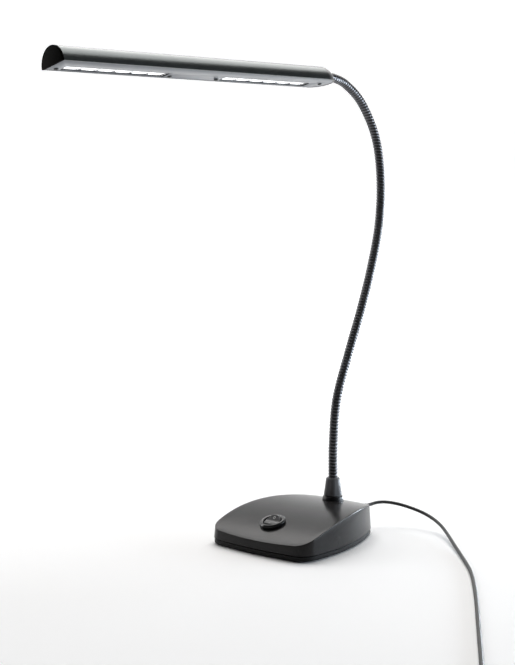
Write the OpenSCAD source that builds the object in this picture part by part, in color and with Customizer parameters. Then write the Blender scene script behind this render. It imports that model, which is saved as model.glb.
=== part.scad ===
// Piano lamp: a half-round light bar on a ribbed gooseneck, standing on a heavy base.
// Millimetres, +Z up, the front of the lamp towards -Y.
// Origin: the middle of the base's underside, on the axis of the lamp.

/* [Base] */
// Widest part of the base, near its front
base_w = 118.2; // [110:0.2:124]
// From the axis forward to the front edge
base_front = 73.8; // [70:0.2:76]
// From the axis back to the rear edge
base_rear = 71.6; // [69:0.2:76]
// Radius of the arc of the front edge
front_arc_r = 327; // [280:1:400]
// Radius of the arcs of the two sides
side_arc_r = 201; // [190:1:220]
// Radius of the arc of the rear edge
rear_arc_r = 97; // [92:1:106]
// Radius of the two front corners
front_corner_r = 16; // [12:1:20]
// Radius of the two rear corners
rear_corner_r = 28; // [24:1:32]
// Height of the crown of the base above the table
crown_h = 32; // [31:0.1:34]
// Radius of the crowned top, front to back
crown_r = 222; // [210:1:250]
// How far the top of the crown lies behind the axis
crown_back = 16.5; // [12:0.5:22]
// Share by which the cover's outline draws in over its height
cover_draft = 0.035; // [0.02:0.005:0.06]
// Wall of the cover
cover_wall = 2.4; // [2:0.1:2.8]
// Height of the tray's rim
rim_h = 4.2; // [3.8:0.1:6]
// Shadow gap between the rim and the cover
seam_gap = 0.6; // [0.4:0.1:1]
// Step in from the cover to the rim
rim_step = 0.5; // [0.3:0.1:1]
// Floor of the tray
tray_floor = 3; // [2.6:0.1:3.4]
// Non-slip pad under the tray
pad_t = 0.8; // [0.6:0.1:1.4]
// Steel plate that weighs the base down
ballast_t = 8; // [6:0.5:9]

/* [Switch] */
// How far the switch lies in front of the axis
switch_fwd = 45; // [40:1:50]
// Outer diameter of the switch bezel
bezel_d = 24; // [23:0.5:26]
// Height of the bezel above its seat
bezel_h = 3; // [2.4:0.1:3.6]
// Diameter of the switch barrel
barrel_d = 20; // [19.4:0.1:20.6]
// Depth of the switch barrel
barrel_l = 10.5; // [9.5:0.5:11.5]
// Radius of the rocker
rocker_r = 8; // [7.4:0.1:8.4]
// Tilt of the rocker each way from level
rocker_tilt = 10; // [7:0.5:11]

/* [Neck] */
// How far the neck stands behind the axis
neck_back = 44.4; // [40:0.2:46]
// Rise of the neck from its collar to the head
neck_rise = 386.6; // [380:0.2:392]
// Diameter of the hose over its ribs
hose_d = 8.7; // [8:0.1:9]
// Diameter of the hose between its ribs
groove_d = 7; // [6.8:0.1:7.2]
// Bore of the hose
hose_bore = 4.6; // [4:0.1:5]
// Ribs on each stretch of the hose
ribs = 9; // [8:1:10]
// Diameter of the flange ring under the collar
flange_d = 20.2; // [19.6:0.2:22]
// Height of the flange ring
flange_h = 4.6; // [4:0.2:5]
// Height of the tapered collar
collar_h = 17.2; // [16.6:0.2:20]
// Diameter of the collar at its foot
collar_foot_d = 18.2; // [17.4:0.2:18.8]
// Diameter of the collar at its shoulder
collar_top_d = 13.4; // [13:0.2:14.4]

/* [Head] */
// Radius of the half-round profile
head_r = 16.1; // [15.6:0.1:18]
// Wall of the profile
profile_wall = 1.5; // [1.2:0.1:1.7]
// Thickness of the front cap
cap_t = 2; // [1.5:0.5:4]
// Turn of the head away from straight forward
head_yaw = 7.6; // [0:0.2:12]
// Fall of the head towards its front end
head_fall = 2.2; // [0:0.2:5]
// Roll of the head about its own length
head_roll = 8.5; // [0:0.5:12]
// Light plate's thickness
plate_t = 1.5; // [1.2:0.1:1.6]
// Length of each light window
window_l = 106; // [104:1:108]
// Width of each light window
window_w = 11; // [10:0.2:11.4]
// Front end of the head to the first window
window_at = 15; // [14:0.5:17]
// Between the two windows
window_gap = 63; // [55:1:70]
// Rear end of the second window to the seam of the neck cap
window_end = 9; // [8:1:16]
// Distance from one lamp chip to the next
led_pitch = 17; // [16.4:0.1:17.2]

/* [Cord] */
// Diameter of the cord
cord_d = 3.2; // [3:0.1:3.4]
// Distance between neighbouring turns of the coil
turn_step = 3.75; // [3.7:0.05:4]
// Turns in the coil
turns = 10.19; // [9.19:1:11.19]
// Adapter's width
adapter_w = 30; // [28:1:34]
// Adapter's height
adapter_h = 25; // [24:1:28]
// Adapter's length
adapter_l = 52; // [50:1:60]

/* [Hidden] */
$fn = 64;

// Clearance of a part that is fitted in a hole, and of one that turns on a pin
fit_gap = 0.15;
pin_gap = 0.05;
// Far enough past a face to cut it cleanly
over = 1;

dark = [0.13, 0.13, 0.14];
black = [0.06, 0.06, 0.06];
steel = [0.62, 0.63, 0.65];
green = [0.1, 0.32, 0.2];
white = [0.93, 0.94, 0.95];
grey = [0.5, 0.52, 0.55];

function unit(v) = v / norm(v);
function flat(lists) = [for (l = lists) for (p = l) p];
function heading(v) = atan2(v[1], v[0]);

// ---- outline of the base: arcs that run into each other ----
front_c = [0, front_arc_r - base_front];
rear_c = [0, base_rear - rear_arc_r];
side_lean = 10.4;
side_c = [base_w / 2 - side_arc_r, -side_arc_r * sin(side_lean)];

// Centre of a circle that touches two arcs from inside: the crossing of two circles
function meet(a, ra, b, rb, way) =
    let (d = b - a, l = norm(d), x = (ra * ra - rb * rb + l * l) / (2 * l),
         h = sqrt(ra * ra - x * x), u = d / l)
    a + u * x + way * h * [-u[1], u[0]];

front_corner = meet(front_c, front_arc_r - front_corner_r,
                    side_c, side_arc_r - front_corner_r, 1);
rear_corner = meet(rear_c, rear_arc_r - rear_corner_r,
                   side_c, side_arc_r - rear_corner_r, -1);

function arc(c, r, a0, a1, n) = [for (k = [0 : n]) let (a = a0 + (a1 - a0) * k / n)
    c + r * [cos(a), sin(a)]];

// The right half, from the middle of the front edge round to the middle of the rear
function half_outline(inset) =
    let (a_front = heading(front_corner - front_c), a_side = heading(front_corner - side_c),
         b_side = heading(rear_corner - side_c), b_rear = heading(rear_corner - rear_c))
    concat(arc(front_c, front_arc_r - inset, -90, a_front, 4),
           arc(front_corner, front_corner_r - inset, a_front + 5, a_side - 5, 8),
           arc(side_c, side_arc_r - inset, a_side, b_side, 6),
           arc(rear_corner, rear_corner_r - inset, b_side + 4, b_rear - 4, 7),
           arc(rear_c, rear_arc_r - inset, b_rear, 90, 3));

function base_outline(inset) =
    let (half = half_outline(inset), n = len(half))
    concat(half, [for (k = [n - 2 : -1 : 1]) [-half[k][0], half[k][1]]]);

tray_z = pad_t;
floor_z = tray_z + tray_floor;
cover_z = tray_z + rim_h + seam_gap;
cover_rise = crown_h;
ballast_top = floor_z + ballast_t;

// Height of the crowned top at a place along the lamp's axis
function crown_z(y) = crown_h - crown_r + sqrt(crown_r * crown_r - (y - crown_back) * (y - crown_back));
// Slope of the crown there, as the turn of its normal towards the front
function crown_lean(y) = asin((crown_back - y) / crown_r);

// The four screws stand in from the front and rear corners of the outline
boss_in_front = [16, 20.7];
boss_in_rear = [34, 24];
boss_spots = [for (s = [1, -1]) each [
    [s * (base_w / 2 - boss_in_front[0]), boss_in_front[1] - base_front],
    [s * (base_w / 2 - boss_in_rear[0]), base_rear - boss_in_rear[1]]]];
boss_d = 7.6;
screw_d = 2.9;
screw_l = 10;
screw_head_d = 5.6;
screw_head_h = 1.8;

// ---- switch ----
switch_y = -switch_fwd;
seat_cut = 0.5;
bezel_lip = 1.4;
pivot_h = 0.6;
rocker_rise = 2.2;
rocker_drop = 4;
rocker_gap = 0.35;
pin_d = 2;

// ---- neck ----
seat_z = crown_z(neck_back) - 0.4;
flange_wall = 2.4;
collar_z = seat_z + flange_h + 1;
collar_top = collar_z + collar_h;
fitting_d = 12;
fitting_top = collar_z + 9;
thread_d = 10;
thread_l = 13;
socket_gap = 0.25;
hose_foot = collar_z + 2;
nut_h = 4;
neck_wall = 3.4;

// The route of the hose, from its foot in the fitting to the head, as the lamp stands
collar_mouth = [0, neck_back, collar_top];
mouth_left = 30.8;
mouth_back = 32.6;
ferrule_mouth = [-mouth_left, neck_back + mouth_back, collar_top + neck_rise];
head_dir = [sin(head_yaw) * cos(head_fall), cos(head_yaw) * cos(head_fall), sin(head_fall)];
ferrule_deep = 7;
neck_knots = [
    [0, neck_back, hose_foot],
    collar_mouth,
    [0, neck_back + 0.3, collar_top + 33],
    collar_mouth + [-1.7, 7.5, 74],
    collar_mouth + [-4.3, 29, 116],
    collar_mouth + [-7.4, 53.5, 158],
    collar_mouth + [-11, 75.5, 199],
    collar_mouth + [-15.2, 94.5, 243],
    collar_mouth + [-20.2, 104.5, 288],
    collar_mouth + [-25.6, 103.2, 331],
    collar_mouth + [-30.2, 85, 365.5],
    ferrule_mouth + [-0.4, 26, -4.2],
    ferrule_mouth + head_dir * 3,
    ferrule_mouth - head_dir * ferrule_deep];

// A curve through the knots, its turn of phrase at each one set by its neighbours
function through(p, i, t) =
    let (b = p[i], c = p[i + 1], m = len(p) - 1,
         a = i == 0 ? 2 * b - c : p[i - 1], d = i + 2 > m ? 2 * c - b : p[i + 2],
         lb = norm(c - b), ta = unit(c - a) * lb, tb = unit(d - b) * lb)
    b * (2 * t * t * t - 3 * t * t + 1) + ta * (t * t * t - 2 * t * t + t)
    + c * (3 * t * t - 2 * t * t * t) + tb * (t * t * t - t * t);

knot_parts = 12;
neck_line = concat([for (i = [0 : len(neck_knots) - 2]) for (k = [0 : knot_parts - 1])
    through(neck_knots, i, k / knot_parts)], [neck_knots[len(neck_knots) - 1]]);

// Running length at each point of a line
function lengths(p) = [for (i = 0, s = 0; i < len(p);
    i = i + 1, s = i < len(p) ? s + norm(p[i] - p[i - 1]) : s) s];
neck_s = lengths(neck_line);
neck_l = neck_s[len(neck_s) - 1];
neck_x_at = [for (i = [0 : len(neck_s) - 1]) [neck_s[i], neck_line[i][0]]];
neck_y_at = [for (i = [0 : len(neck_s) - 1]) [neck_s[i], neck_line[i][1]]];
neck_z_at = [for (i = [0 : len(neck_s) - 1]) [neck_s[i], neck_line[i][2]]];
function neck_at(s) = [lookup(s, neck_x_at), lookup(s, neck_y_at), lookup(s, neck_z_at)];
function neck_dir(s) = unit(neck_at(min(s + 2, neck_l)) - neck_at(max(s - 2, 0)));

stretches = 17;
stretch_l = neck_l / stretches;
rib_pitch = stretch_l / ribs;
bend_gap = 1.3;

for (k = [1 : stretches - 1])
    echo(bend = k, place = neck_at(k * stretch_l), dir = neck_dir(k * stretch_l));
echo(hose_length = neck_l, rib_pitch = rib_pitch);

// ---- head, in its own frame: +Y back along the profile, +Z up, the bottom at z = 0 ----
hose_h = 7;
dome_at = window_at + 2 * window_l + window_gap + window_end;
profile_l = dome_at - cap_t;
tip_at = dome_at + head_r;
ferrule_out = 1.6;
ferrule_d = 10.4;
ferrule_l = 8.6;
stud_d = 8;
stud_l = 3.2;
boss_wall = 1.4;
boss_face = tip_at + ferrule_out - ferrule_l - 1.2;
ferrule_nut_h = 2;
ledge_w = 1;
ledge_t = 1.2;
plate_gap = 0.2;
plate_z = 0.1;
plate_top = plate_z + plate_t;
plate_r = head_r - profile_wall - plate_gap;
window_x = -7.2;
reflector_w = window_w + 1.4;
reflector_h = 3.2;
board_t = 1.2;
board_w = window_w + 0.2;
cup_top_r = 3;
cup_mouth_r = 8.7;
led_size = 3.6;
led_t = 1;
leds = floor(window_l / led_pitch);
plate_screw_d = 2.2;
plate_screw_head_d = 4.2;
plate_screw_l = 5;
window_starts = [window_at, window_at + window_l + window_gap];
lug_spots = [[-9.5, window_at - 5], [-9.5, window_at + window_l + 5], [-9.5, window_starts[1] - 5]];
post_spot = [-1.5, dome_at + 3.8];
post_d = 3.8;
screw_spots = concat(lug_spots, [post_spot]);
lug = [6.4, 5.6, 3.6];

module in_head() {
    translate(ferrule_mouth)
        rotate([0, 0, -head_yaw]) rotate([head_fall, 0, 0]) rotate([0, -head_roll, 0])
            translate([0, -tip_at - ferrule_out, -hose_h]) children();
}

// ---- cord ----
gland_x = 16;
gland_z = 22;
gland_tail = 8;
gland_flange = 1.2;
gland_d = 5;
gland_neck_d = 3.8;
gland_grow = 1 - cover_draft * (gland_z - cover_z) / cover_rise;
gland_wall = [gland_x, rear_c[1] + sqrt(rear_arc_r * rear_arc_r - gland_x * gland_x)] * gland_grow;
gland_dir = unit([gland_x, gland_wall[1] - rear_c[1]]);
gland_spot = 0.4;
cord_start = concat(gland_wall + gland_dir * (gland_tail - gland_spot + 0.2), gland_z);
cord_low = cord_d / 2;
tie_t = 0.8;
coil_low = cord_low + tie_t + 0.1;

// The cord's own points: out of the gland, down to the table and forward on the right
cord_route = [
    [18.6, 82.8, 22.6], [19.9, 86.8, 23.2], [22.3, 91, 23.6], [26, 95, 23.6],
    [31, 98.4, 23.1], [36.6, 101, 22.3], [43, 103.4, 21], [49.4, 105.2, 19.5],
    [56.6, 106.5, 17.7], [64, 107, 15.7], [72, 105.8, 13.5], [80, 103, 11.3],
    [87.5, 98.8, 9.4], [95, 93, 7.7], [103, 85.6, 6.2], [111, 77.5, 5.1],
    [119, 69, 4.2], [128, 59.4, 3.3], [137, 49.8, 2.6], [146, 40, 2], [155, 30, 1.7],
    [164, 19.6, 1.6], [173, 8.8, 1.6], [181.5, -2.2, 1.6], [189.5, -13.4, 1.6],
    [197.5, -25, 1.6], [205.5, -37, 1.6], [213.5, -49.2, 1.6], [221.5, -61.6, 1.6],
    [229.5, -74.2, 1.6], [237.5, -87, 1.6], [245.5, -99.8, 1.6], [253.5, -112.6, 1.6],
    [261.5, -125.4, 1.6], [269.5, -138.2, 1.6], [277.5, -151, 1.6], [285.5, -163.8, 1.6],
    [293.5, -176.6, 1.6], [301.5, -189.4, 1.6], [309.5, -202.2, 1.7], [317, -214, 1.9],
    [324.5, -225.8, 2.2], [331, -236, 2.5]];

coil_c = [320, -262];
coil_mean_r = 19.2;
coil_start_a = 32.7;
layers = 4;
ring_parts = 24;
layer_turns = turns / layers;

// Radius and height of the coil after u turns: in, out, in and out again, a layer higher
// each time, with the climb in the half turn about each reversal
function coil_r(u) =
    let (k = floor(u / layer_turns), t = u / layer_turns - k, out = k % 2 == 1)
    coil_mean_r + turn_step * layer_turns * ((out ? t : 1 - t) - 0.5);
function coil_z(u) =
    coil_low + turn_step * lookup(u, flat([for (k = [1 : layers - 1])
        [[k * layer_turns - 0.25, k - 1], [k * layer_turns + 0.25, k]]]));
function coil_at(u) =
    let (a = coil_start_a - 360 * u)
    [coil_c[0] + coil_r(u) * cos(a), coil_c[1] + coil_r(u) * sin(a), coil_z(u)];

coil_steps = round(turns * ring_parts);
coil_turns_line = [for (k = [0 : coil_steps]) coil_at(turns * k / coil_steps)];
coil_in = unit(coil_turns_line[1] - coil_turns_line[0]);
coil_out_a = coil_start_a - 360 * turns;
coil_out = [sin(coil_out_a), -cos(coil_out_a), 0];
coil_tail = 14;
coil_end = coil_turns_line[coil_steps] + coil_out * coil_tail;
coil_line = concat([coil_turns_line[0] - [coil_in[0], coil_in[1], 0] * cord_d],
    coil_turns_line, [coil_end]);
cord_line = concat([cord_start], cord_route, [coil_line[0]]);

// Least gap of the coil to itself, on points at least half a turn apart
coil_gap = min([for (i = [0 : 2 : coil_steps - ring_parts / 2])
    min([for (j = [i + ring_parts / 2 : coil_steps])
        norm(coil_turns_line[i] - coil_turns_line[j])])]) - cord_d;
echo(coil_gap = coil_gap);
cord_s = lengths(cord_line);
coil_s = lengths(coil_line);
echo(free_cord = cord_s[len(cord_s) - 1], coiled_cord = coil_s[len(coil_s) - 1]);

relief_l = 14;
adapter_dir_a = heading(coil_out);
adapter_r = 3;
plug_pin_d = 4;
plug_pin_l = 19;
plug_pitch = 18.6;
case_split = 0.5;

// ---- swept tubes ----
// A ring of points across a line, square to its direction
function ring(c, dir, r, sides, side) =
    let (u = unit(cross(dir, side)), v = cross(dir, u))
    [for (k = [0 : sides - 1]) c + r * (cos(360 * k / sides) * u + sin(360 * k / sides) * v)];

function line_dir(p, i) = unit(p[min(i + 1, len(p) - 1)] - p[max(i - 1, 0)]);

// The two triangles of each cell between one ring and the next
function skin(rings, sides, start, way) = [for (i = [0 : rings - 2]) for (j = [0 : sides - 1])
    let (a = start + i * sides + j, b = start + i * sides + (j + 1) % sides, c = a + sides, d = b + sides)
    each way ? [[a, b, c], [b, d, c]] : [[a, c, b], [b, c, d]]];

module solid_tube(line, r, sides, side) {
    rings = [for (i = [0 : len(line) - 1]) ring(line[i], line_dir(line, i), r, sides, side)];
    last = (len(line) - 1) * sides;
    polyhedron(points = flat(rings),
        faces = concat(skin(len(line), sides, 0, true),
            [for (j = [1 : sides - 2]) [0, j + 1, j]],
            [for (j = [1 : sides - 2]) [last, last + j, last + j + 1]]));
}

module hollow_tube(outer, inner, sides) {
    n = len(outer) * sides;
    end_o = n - sides;
    end_i = n + (len(inner) - 1) * sides;
    polyhedron(points = concat(flat(outer), flat(inner)),
        faces = concat(skin(len(outer), sides, 0, true), skin(len(inner), sides, n, false),
            [for (j = [0 : sides - 1]) let (k = (j + 1) % sides)
                each [[j, n + j, k], [k, n + j, n + k]]],
            [for (j = [0 : sides - 1]) let (k = (j + 1) % sides)
                each [[end_o + j, end_o + k, end_i + j], [end_o + k, end_i + k, end_i + j]]]));
}

// ---- base ----
module crown_body(drop) {
    translate([0, crown_back, crown_h - crown_r])
        rotate([0, 90, 0]) cylinder(r = crown_r - drop, h = 3 * base_w, center = true, $fn = 180);
}

module drafted(inset, z) {
    translate([0, 0, z])
        linear_extrude(height = cover_rise, scale = 1 - cover_draft) polygon(base_outline(inset));
}

module on_crown(y, drop) {
    translate([0, y, crown_z(y) - drop]) rotate([crown_lean(y), 0, 0]) children();
}

module at_bosses() {
    for (s = boss_spots) translate(s) children();
}

module at_gland() {
    translate([gland_wall[0], gland_wall[1], gland_z])
        rotate([0, 0, heading(gland_dir)]) rotate([0, 90, 0])
            translate([0, 0, -gland_spot]) children();
}

module base_cover() color(dark) {
    difference() {
        union() {
            difference() {
                intersection() {
                    drafted(0, cover_z);
                    crown_body(0);
                }
                intersection() {
                    drafted(cover_wall, cover_z - 0.01);
                    crown_body(cover_wall);
                }
            }
            intersection() {
                union() {
                    translate([0, 0, floor_z]) at_bosses() cylinder(d = boss_d, h = crown_h);
                    translate([0, neck_back, seat_z - neck_wall]) cylinder(d = flange_d, h = crown_h);
                }
                crown_body(0.4);
            }
            translate([0, neck_back, seat_z - neck_wall]) cylinder(d = flange_d + 1.6, h = neck_wall);
        }
        on_crown(switch_y, seat_cut) {
            cylinder(d = bezel_d + 2 * fit_gap, h = 5);
            translate([0, 0, -10]) cylinder(d = barrel_d + 2 * fit_gap, h = 20);
        }
        translate([0, neck_back, seat_z]) cylinder(d = flange_d + 2 * fit_gap, h = 5);
        translate([0, neck_back, 0]) cylinder(d = thread_d + 2 * fit_gap, h = crown_h + over);
        at_gland() {
            translate([0, 0, -6]) cylinder(d = gland_neck_d + 2 * pin_gap, h = 10);
            cylinder(d = gland_d + 2 * fit_gap, h = 4);
        }
        translate([0, 0, floor_z - over]) at_bosses() cylinder(d = screw_d + 2 * pin_gap, h = screw_l);
    }
}

module base_tray() color(black) {
    lip_in = cover_wall + 0.4;
    difference() {
        union() {
            translate([0, 0, tray_z]) linear_extrude(height = rim_h) polygon(base_outline(rim_step));
            translate([0, 0, tray_z]) linear_extrude(height = rim_h + seam_gap + 1.6)
                polygon(base_outline(lip_in));
        }
        translate([0, 0, floor_z]) linear_extrude(height = rim_h + 8)
            polygon(base_outline(lip_in + 1.6));
        translate([0, 0, tray_z - over]) at_bosses() {
            cylinder(d = screw_d + 0.5, h = tray_floor + 2 * over);
            cylinder(d = screw_head_d + 0.6, h = over + screw_head_h + 0.1);
        }
    }
}

module base_pad() color(black)
    linear_extrude(height = pad_t) polygon(base_outline(5));

module ballast_plate() color(steel) {
    translate([0, 0, floor_z]) linear_extrude(height = ballast_t) difference() {
        polygon(base_outline(12.8));
        at_bosses() circle(d = boss_d + 2);
        translate([-14.5, -100]) square([29, 100 - switch_fwd + 15]);
    }
}

module tray_screws() color(steel)
    at_bosses() {
        translate([0, 0, tray_z + 0.1]) difference() {
            cylinder(d = screw_head_d, h = screw_head_h);
            translate([0, 0, -over]) cylinder(d = 2.6, h = over + 0.9, $fn = 6);
        }
        translate([0, 0, tray_z + 0.1 + screw_head_h]) cylinder(d = screw_d, h = screw_l - 2.4);
    }

board_side = 38;
board_c = [board_side - base_w / 2, 6];
pcb_l = 36;
pcb_w = 24;
pcb_t = 1.6;
standoff_h = 3;
pcb_z = ballast_top + standoff_h;

module board_standoffs() color(steel)
    for (sx = [-1, 1], sy = [-1, 1])
        translate([board_c[0] + sx * (pcb_w / 2 - 3), board_c[1] + sy * (pcb_l / 2 - 3), ballast_top])
            cylinder(d = 4.6, h = standoff_h);

module control_board() color(green)
    translate([board_c[0] - pcb_w / 2, board_c[1] - pcb_l / 2, pcb_z]) cube([pcb_w, pcb_l, pcb_t]);

module board_parts() color(black)
    translate([board_c[0], board_c[1], pcb_z + pcb_t]) {
        translate([-4, -8, 0]) cylinder(d = 9, h = 5);
        translate([5, -9, 0]) cylinder(d = 6.3, h = 5.6);
        translate([-6, 3, 0]) cube([6, 5, 1.6]);
        translate([3, 6, 0]) cube([7, 6, 4.4]);
    }

// ---- switch ----
module in_switch() on_crown(switch_y, seat_cut) children();

module switch_housing() color(black) in_switch() difference() {
    rotate_extrude() polygon([
        [0, -barrel_l], [barrel_d / 2, -barrel_l], [barrel_d / 2, 0], [bezel_d / 2, 0],
        [bezel_d / 2, bezel_h - 1.5], [bezel_d / 2 - 0.7, bezel_h - 0.4], [bezel_d / 2 - 1.5, bezel_h],
        [rocker_r + rocker_gap + 0.9, bezel_h - 0.2], [rocker_r + rocker_gap + 0.4, bezel_h - 0.5],
        [0, bezel_h - 0.5]]);
    translate([0, 0, 1.5 - barrel_l]) cylinder(r = rocker_r + rocker_gap, h = barrel_l + bezel_h);
    translate([0, 0, pivot_h]) rotate([0, 90, 0])
        cylinder(d = pin_d, h = 2 * rocker_r + 2.6, center = true);
}

// At rest the front of the rocker is pressed in
module switch_rocker() color(black) in_switch()
    translate([0, 0, pivot_h]) rotate([rocker_tilt, 0, 0]) difference() {
        intersection() {
            sphere(r = rocker_r);
            translate([0, 0, -rocker_drop]) cylinder(r = rocker_r, h = rocker_drop + rocker_r);
        }
        for (s = [-1, 1]) translate([0, 0, rocker_rise]) rotate([s * rocker_tilt, 0, 0])
            translate([-20, s > 0 ? 0 : -20, 0]) cube([40, 20, 20]);
        translate([-20, -20, -20 - rocker_drop]) cube([40, 40, 20]);
        rotate([0, 90, 0]) cylinder(d = pin_d + 2 * pin_gap, h = 40, center = true);
    }

module rocker_pin() color(steel) in_switch()
    translate([0, 0, pivot_h]) rotate([0, 90, 0])
        cylinder(d = pin_d, h = 2 * rocker_r + 2.6, center = true);

module switch_terminals() color(steel) in_switch()
    for (s = [-1, 0, 1]) translate([-2.4, s * 5 - 0.4, -barrel_l - 4.5]) cube([4.8, 0.8, 4.5]);

// ---- neck foot ----
module at_neck(z) translate([0, neck_back, z]) children();

module neck_flange() color(black) at_neck(seat_z) rotate_extrude() polygon([
    [thread_d / 2 + fit_gap, 0], [flange_d / 2, 0], [flange_d / 2, flange_wall],
    [collar_foot_d / 2 + 0.2, flange_h], [collar_foot_d / 2 - 1.2, flange_h],
    [collar_foot_d / 2 - 1.2, flange_h + 1], [thread_d / 2 + fit_gap, flange_h + 1]]);

collar_turn = 7.5;
flat_foot = collar_foot_d / 2 - 0.42;
flat_top = collar_top_d / 2 - 0.16;
shoulder = 1.3;

module neck_collar() color(dark) at_neck(collar_z) difference() {
    union() {
        cylinder(d1 = collar_foot_d, d2 = collar_top_d, h = collar_h - shoulder);
        translate([0, 0, collar_h - shoulder])
            cylinder(d1 = collar_top_d, d2 = collar_top_d - 2.2 * shoulder, h = shoulder);
    }
    for (k = [0 : 5]) rotate([0, 0, collar_turn + 30 + 60 * k])
        translate([flat_foot, 0, 0]) rotate([0, -atan2(flat_foot - flat_top, collar_h - shoulder), 0])
            translate([0, -10, -over]) cube([10, 20, collar_h + 2 * over]);
    translate([0, 0, -over]) cylinder(d = fitting_d + 2 * fit_gap, h = fitting_top - collar_z + over);
    cylinder(d = hose_d + 2 * socket_gap, h = collar_h + over);
}

module neck_fitting() color(steel) at_neck(0) difference() {
    union() {
        translate([0, 0, seat_z - thread_l]) cylinder(d = thread_d, h = thread_l + flange_h + 1);
        translate([0, 0, collar_z]) cylinder(d = fitting_d, h = fitting_top - collar_z);
    }
    translate([0, 0, seat_z - thread_l - over]) cylinder(d = hose_bore, h = 3 * thread_l);
    translate([0, 0, hose_foot]) cylinder(d = hose_d + 2 * socket_gap, h = 20);
}

module neck_washer() color(steel) at_neck(seat_z - neck_wall - 1) difference() {
    cylinder(d = 17, h = 1);
    translate([0, 0, -over]) cylinder(d = thread_d + 2 * fit_gap, h = 1 + 2 * over);
}

module neck_locknut() color(steel) at_neck(seat_z - neck_wall - 1 - nut_h) difference() {
    cylinder(d = 16, h = nut_h, $fn = 6);
    translate([0, 0, -over]) cylinder(d = thread_d + 2 * pin_gap, h = nut_h + 2 * over);
}

// ---- hose: one stretch between two bends, ribs outside and a bore inside ----
hose_sides = 8;
bore_parts = 2;

module hose_stretch(k) color(dark) {
    s0 = (k - 1) * stretch_l + (k == 1 ? 0.2 : bend_gap / 2);
    s1 = k * stretch_l - (k == stretches ? 0.2 : bend_gap / 2);
    first = (k - 1) * stretch_l;
    outer_s = concat([s0], [for (i = [1 : 2 * ribs - 1]) first + i * rib_pitch / 2], [s1]);
    outer = [for (i = [0 : len(outer_s) - 1])
        ring(neck_at(outer_s[i]), neck_dir(outer_s[i]), (i % 2 == 1 ? hose_d : groove_d) / 2,
            hose_sides, [1, 0, 0])];
    inner = [for (i = [0 : bore_parts]) let (s = s0 + (s1 - s0) * i / bore_parts)
        ring(neck_at(s), neck_dir(s), hose_bore / 2, hose_sides, [1, 0, 0])];
    hollow_tube(outer, inner, hose_sides);
}

// ---- head ----
// A bar along +Y whose section is drawn in X and Z
module along_y(from, to) {
    translate([0, to, 0]) rotate([90, 0, 0]) linear_extrude(height = to - from) children();
}

module half_disc(r) intersection() {
    circle(r = r, $fn = 120);
    translate([-2 * r, 0]) square([4 * r, 2 * r]);
}

module profile_section() difference() {
    half_disc(head_r);
    difference() {
        translate([0, -over]) intersection() {
            translate([0, over]) circle(r = head_r - profile_wall, $fn = 120);
            translate([-2 * head_r, 0]) square([4 * head_r, 2 * head_r]);
        }
        for (s = [-1, 1]) translate([s * (head_r - profile_wall - ledge_w / 2) - ledge_w / 2, plate_top])
            square([ledge_w, ledge_t]);
    }
}

module head_profile() color(dark) in_head()
    along_y(cap_t, dome_at) profile_section();

module head_front_cap() color(black) in_head() {
    along_y(0, cap_t) half_disc(head_r + 0.15);
    along_y(cap_t, cap_t + 5) difference() {
        intersection() {
            half_disc(head_r - profile_wall - fit_gap);
            translate([-head_r, plate_top + ledge_t + 0.2]) square([2 * head_r, head_r]);
        }
        intersection() {
            half_disc(head_r - profile_wall - 2);
            translate([-head_r, plate_top + ledge_t + 2]) square([2 * head_r, head_r]);
        }
    }
}

module quarter_ball(r) intersection() {
    sphere(r = r, $fn = 96);
    translate([-2 * r, 0, 0]) cube([4 * r, 2 * r, 2 * r]);
}

module head_neck_cap() color(dark) in_head() difference() {
    union() {
        difference() {
            translate([0, dome_at, 0]) quarter_ball(head_r);
            translate([0, dome_at - 0.01, -0.01]) quarter_ball(head_r - profile_wall);
        }
        intersection() {
            translate([0, dome_at, 0]) quarter_ball(head_r);
            translate([0, boss_face, hose_h]) rotate([-90, 0, 0])
                cylinder(r = ferrule_d / 2 + boss_wall, h = head_r);
            translate([-head_r, dome_at, plate_top + plate_gap]) cube(2 * head_r);
        }
        intersection() {
            translate([0, dome_at, 0]) quarter_ball(head_r - 0.5);
            translate([post_spot[0], post_spot[1], plate_top + plate_gap])
                cylinder(d = post_d, h = head_r, $fn = 32);
        }
    }
    translate([post_spot[0], post_spot[1], 0])
        cylinder(d = plate_screw_d + 2 * pin_gap, h = plate_screw_l + 1, $fn = 24);
    translate([0, boss_face - over, hose_h]) rotate([-90, 0, 0])
        cylinder(d = stud_d + 2 * fit_gap, h = 2 * head_r);
    translate([0, ferrule_at, hose_h]) rotate([-90, 0, 0])
        cylinder(d = ferrule_d + 2 * fit_gap, h = 2 * head_r);
}

module plate_shape(r, from) {
    translate([-r, from]) square([2 * r, dome_at - from]);
    translate([0, dome_at]) intersection() {
        circle(r = r, $fn = 120);
        translate([-2 * r, 0]) square([4 * r, 2 * r]);
    }
}

module light_plate() color(grey) in_head() difference() {
    translate([0, 0, plate_z]) linear_extrude(height = plate_t) plate_shape(plate_r, cap_t + 0.2);
    for (y = window_starts) translate([window_x - window_w / 2, y, -over])
        cube([window_w, window_l, plate_t + 2 * over]);
    for (s = screw_spots) translate([s[0], s[1], -over])
        cylinder(d = plate_screw_d + 0.2, h = plate_t + 2 * over);
}

module plate_screws() color(steel) in_head() for (s = screw_spots) translate([s[0], s[1], 0]) {
    translate([0, 0, plate_z - 0.9]) difference() {
        cylinder(d = plate_screw_head_d, h = 0.9);
        translate([0, 0, -over]) cylinder(d = 1.6, h = over + 0.5, $fn = 6);
    }
    translate([0, 0, plate_z]) cylinder(d = plate_screw_d, h = plate_screw_l);
}

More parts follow.
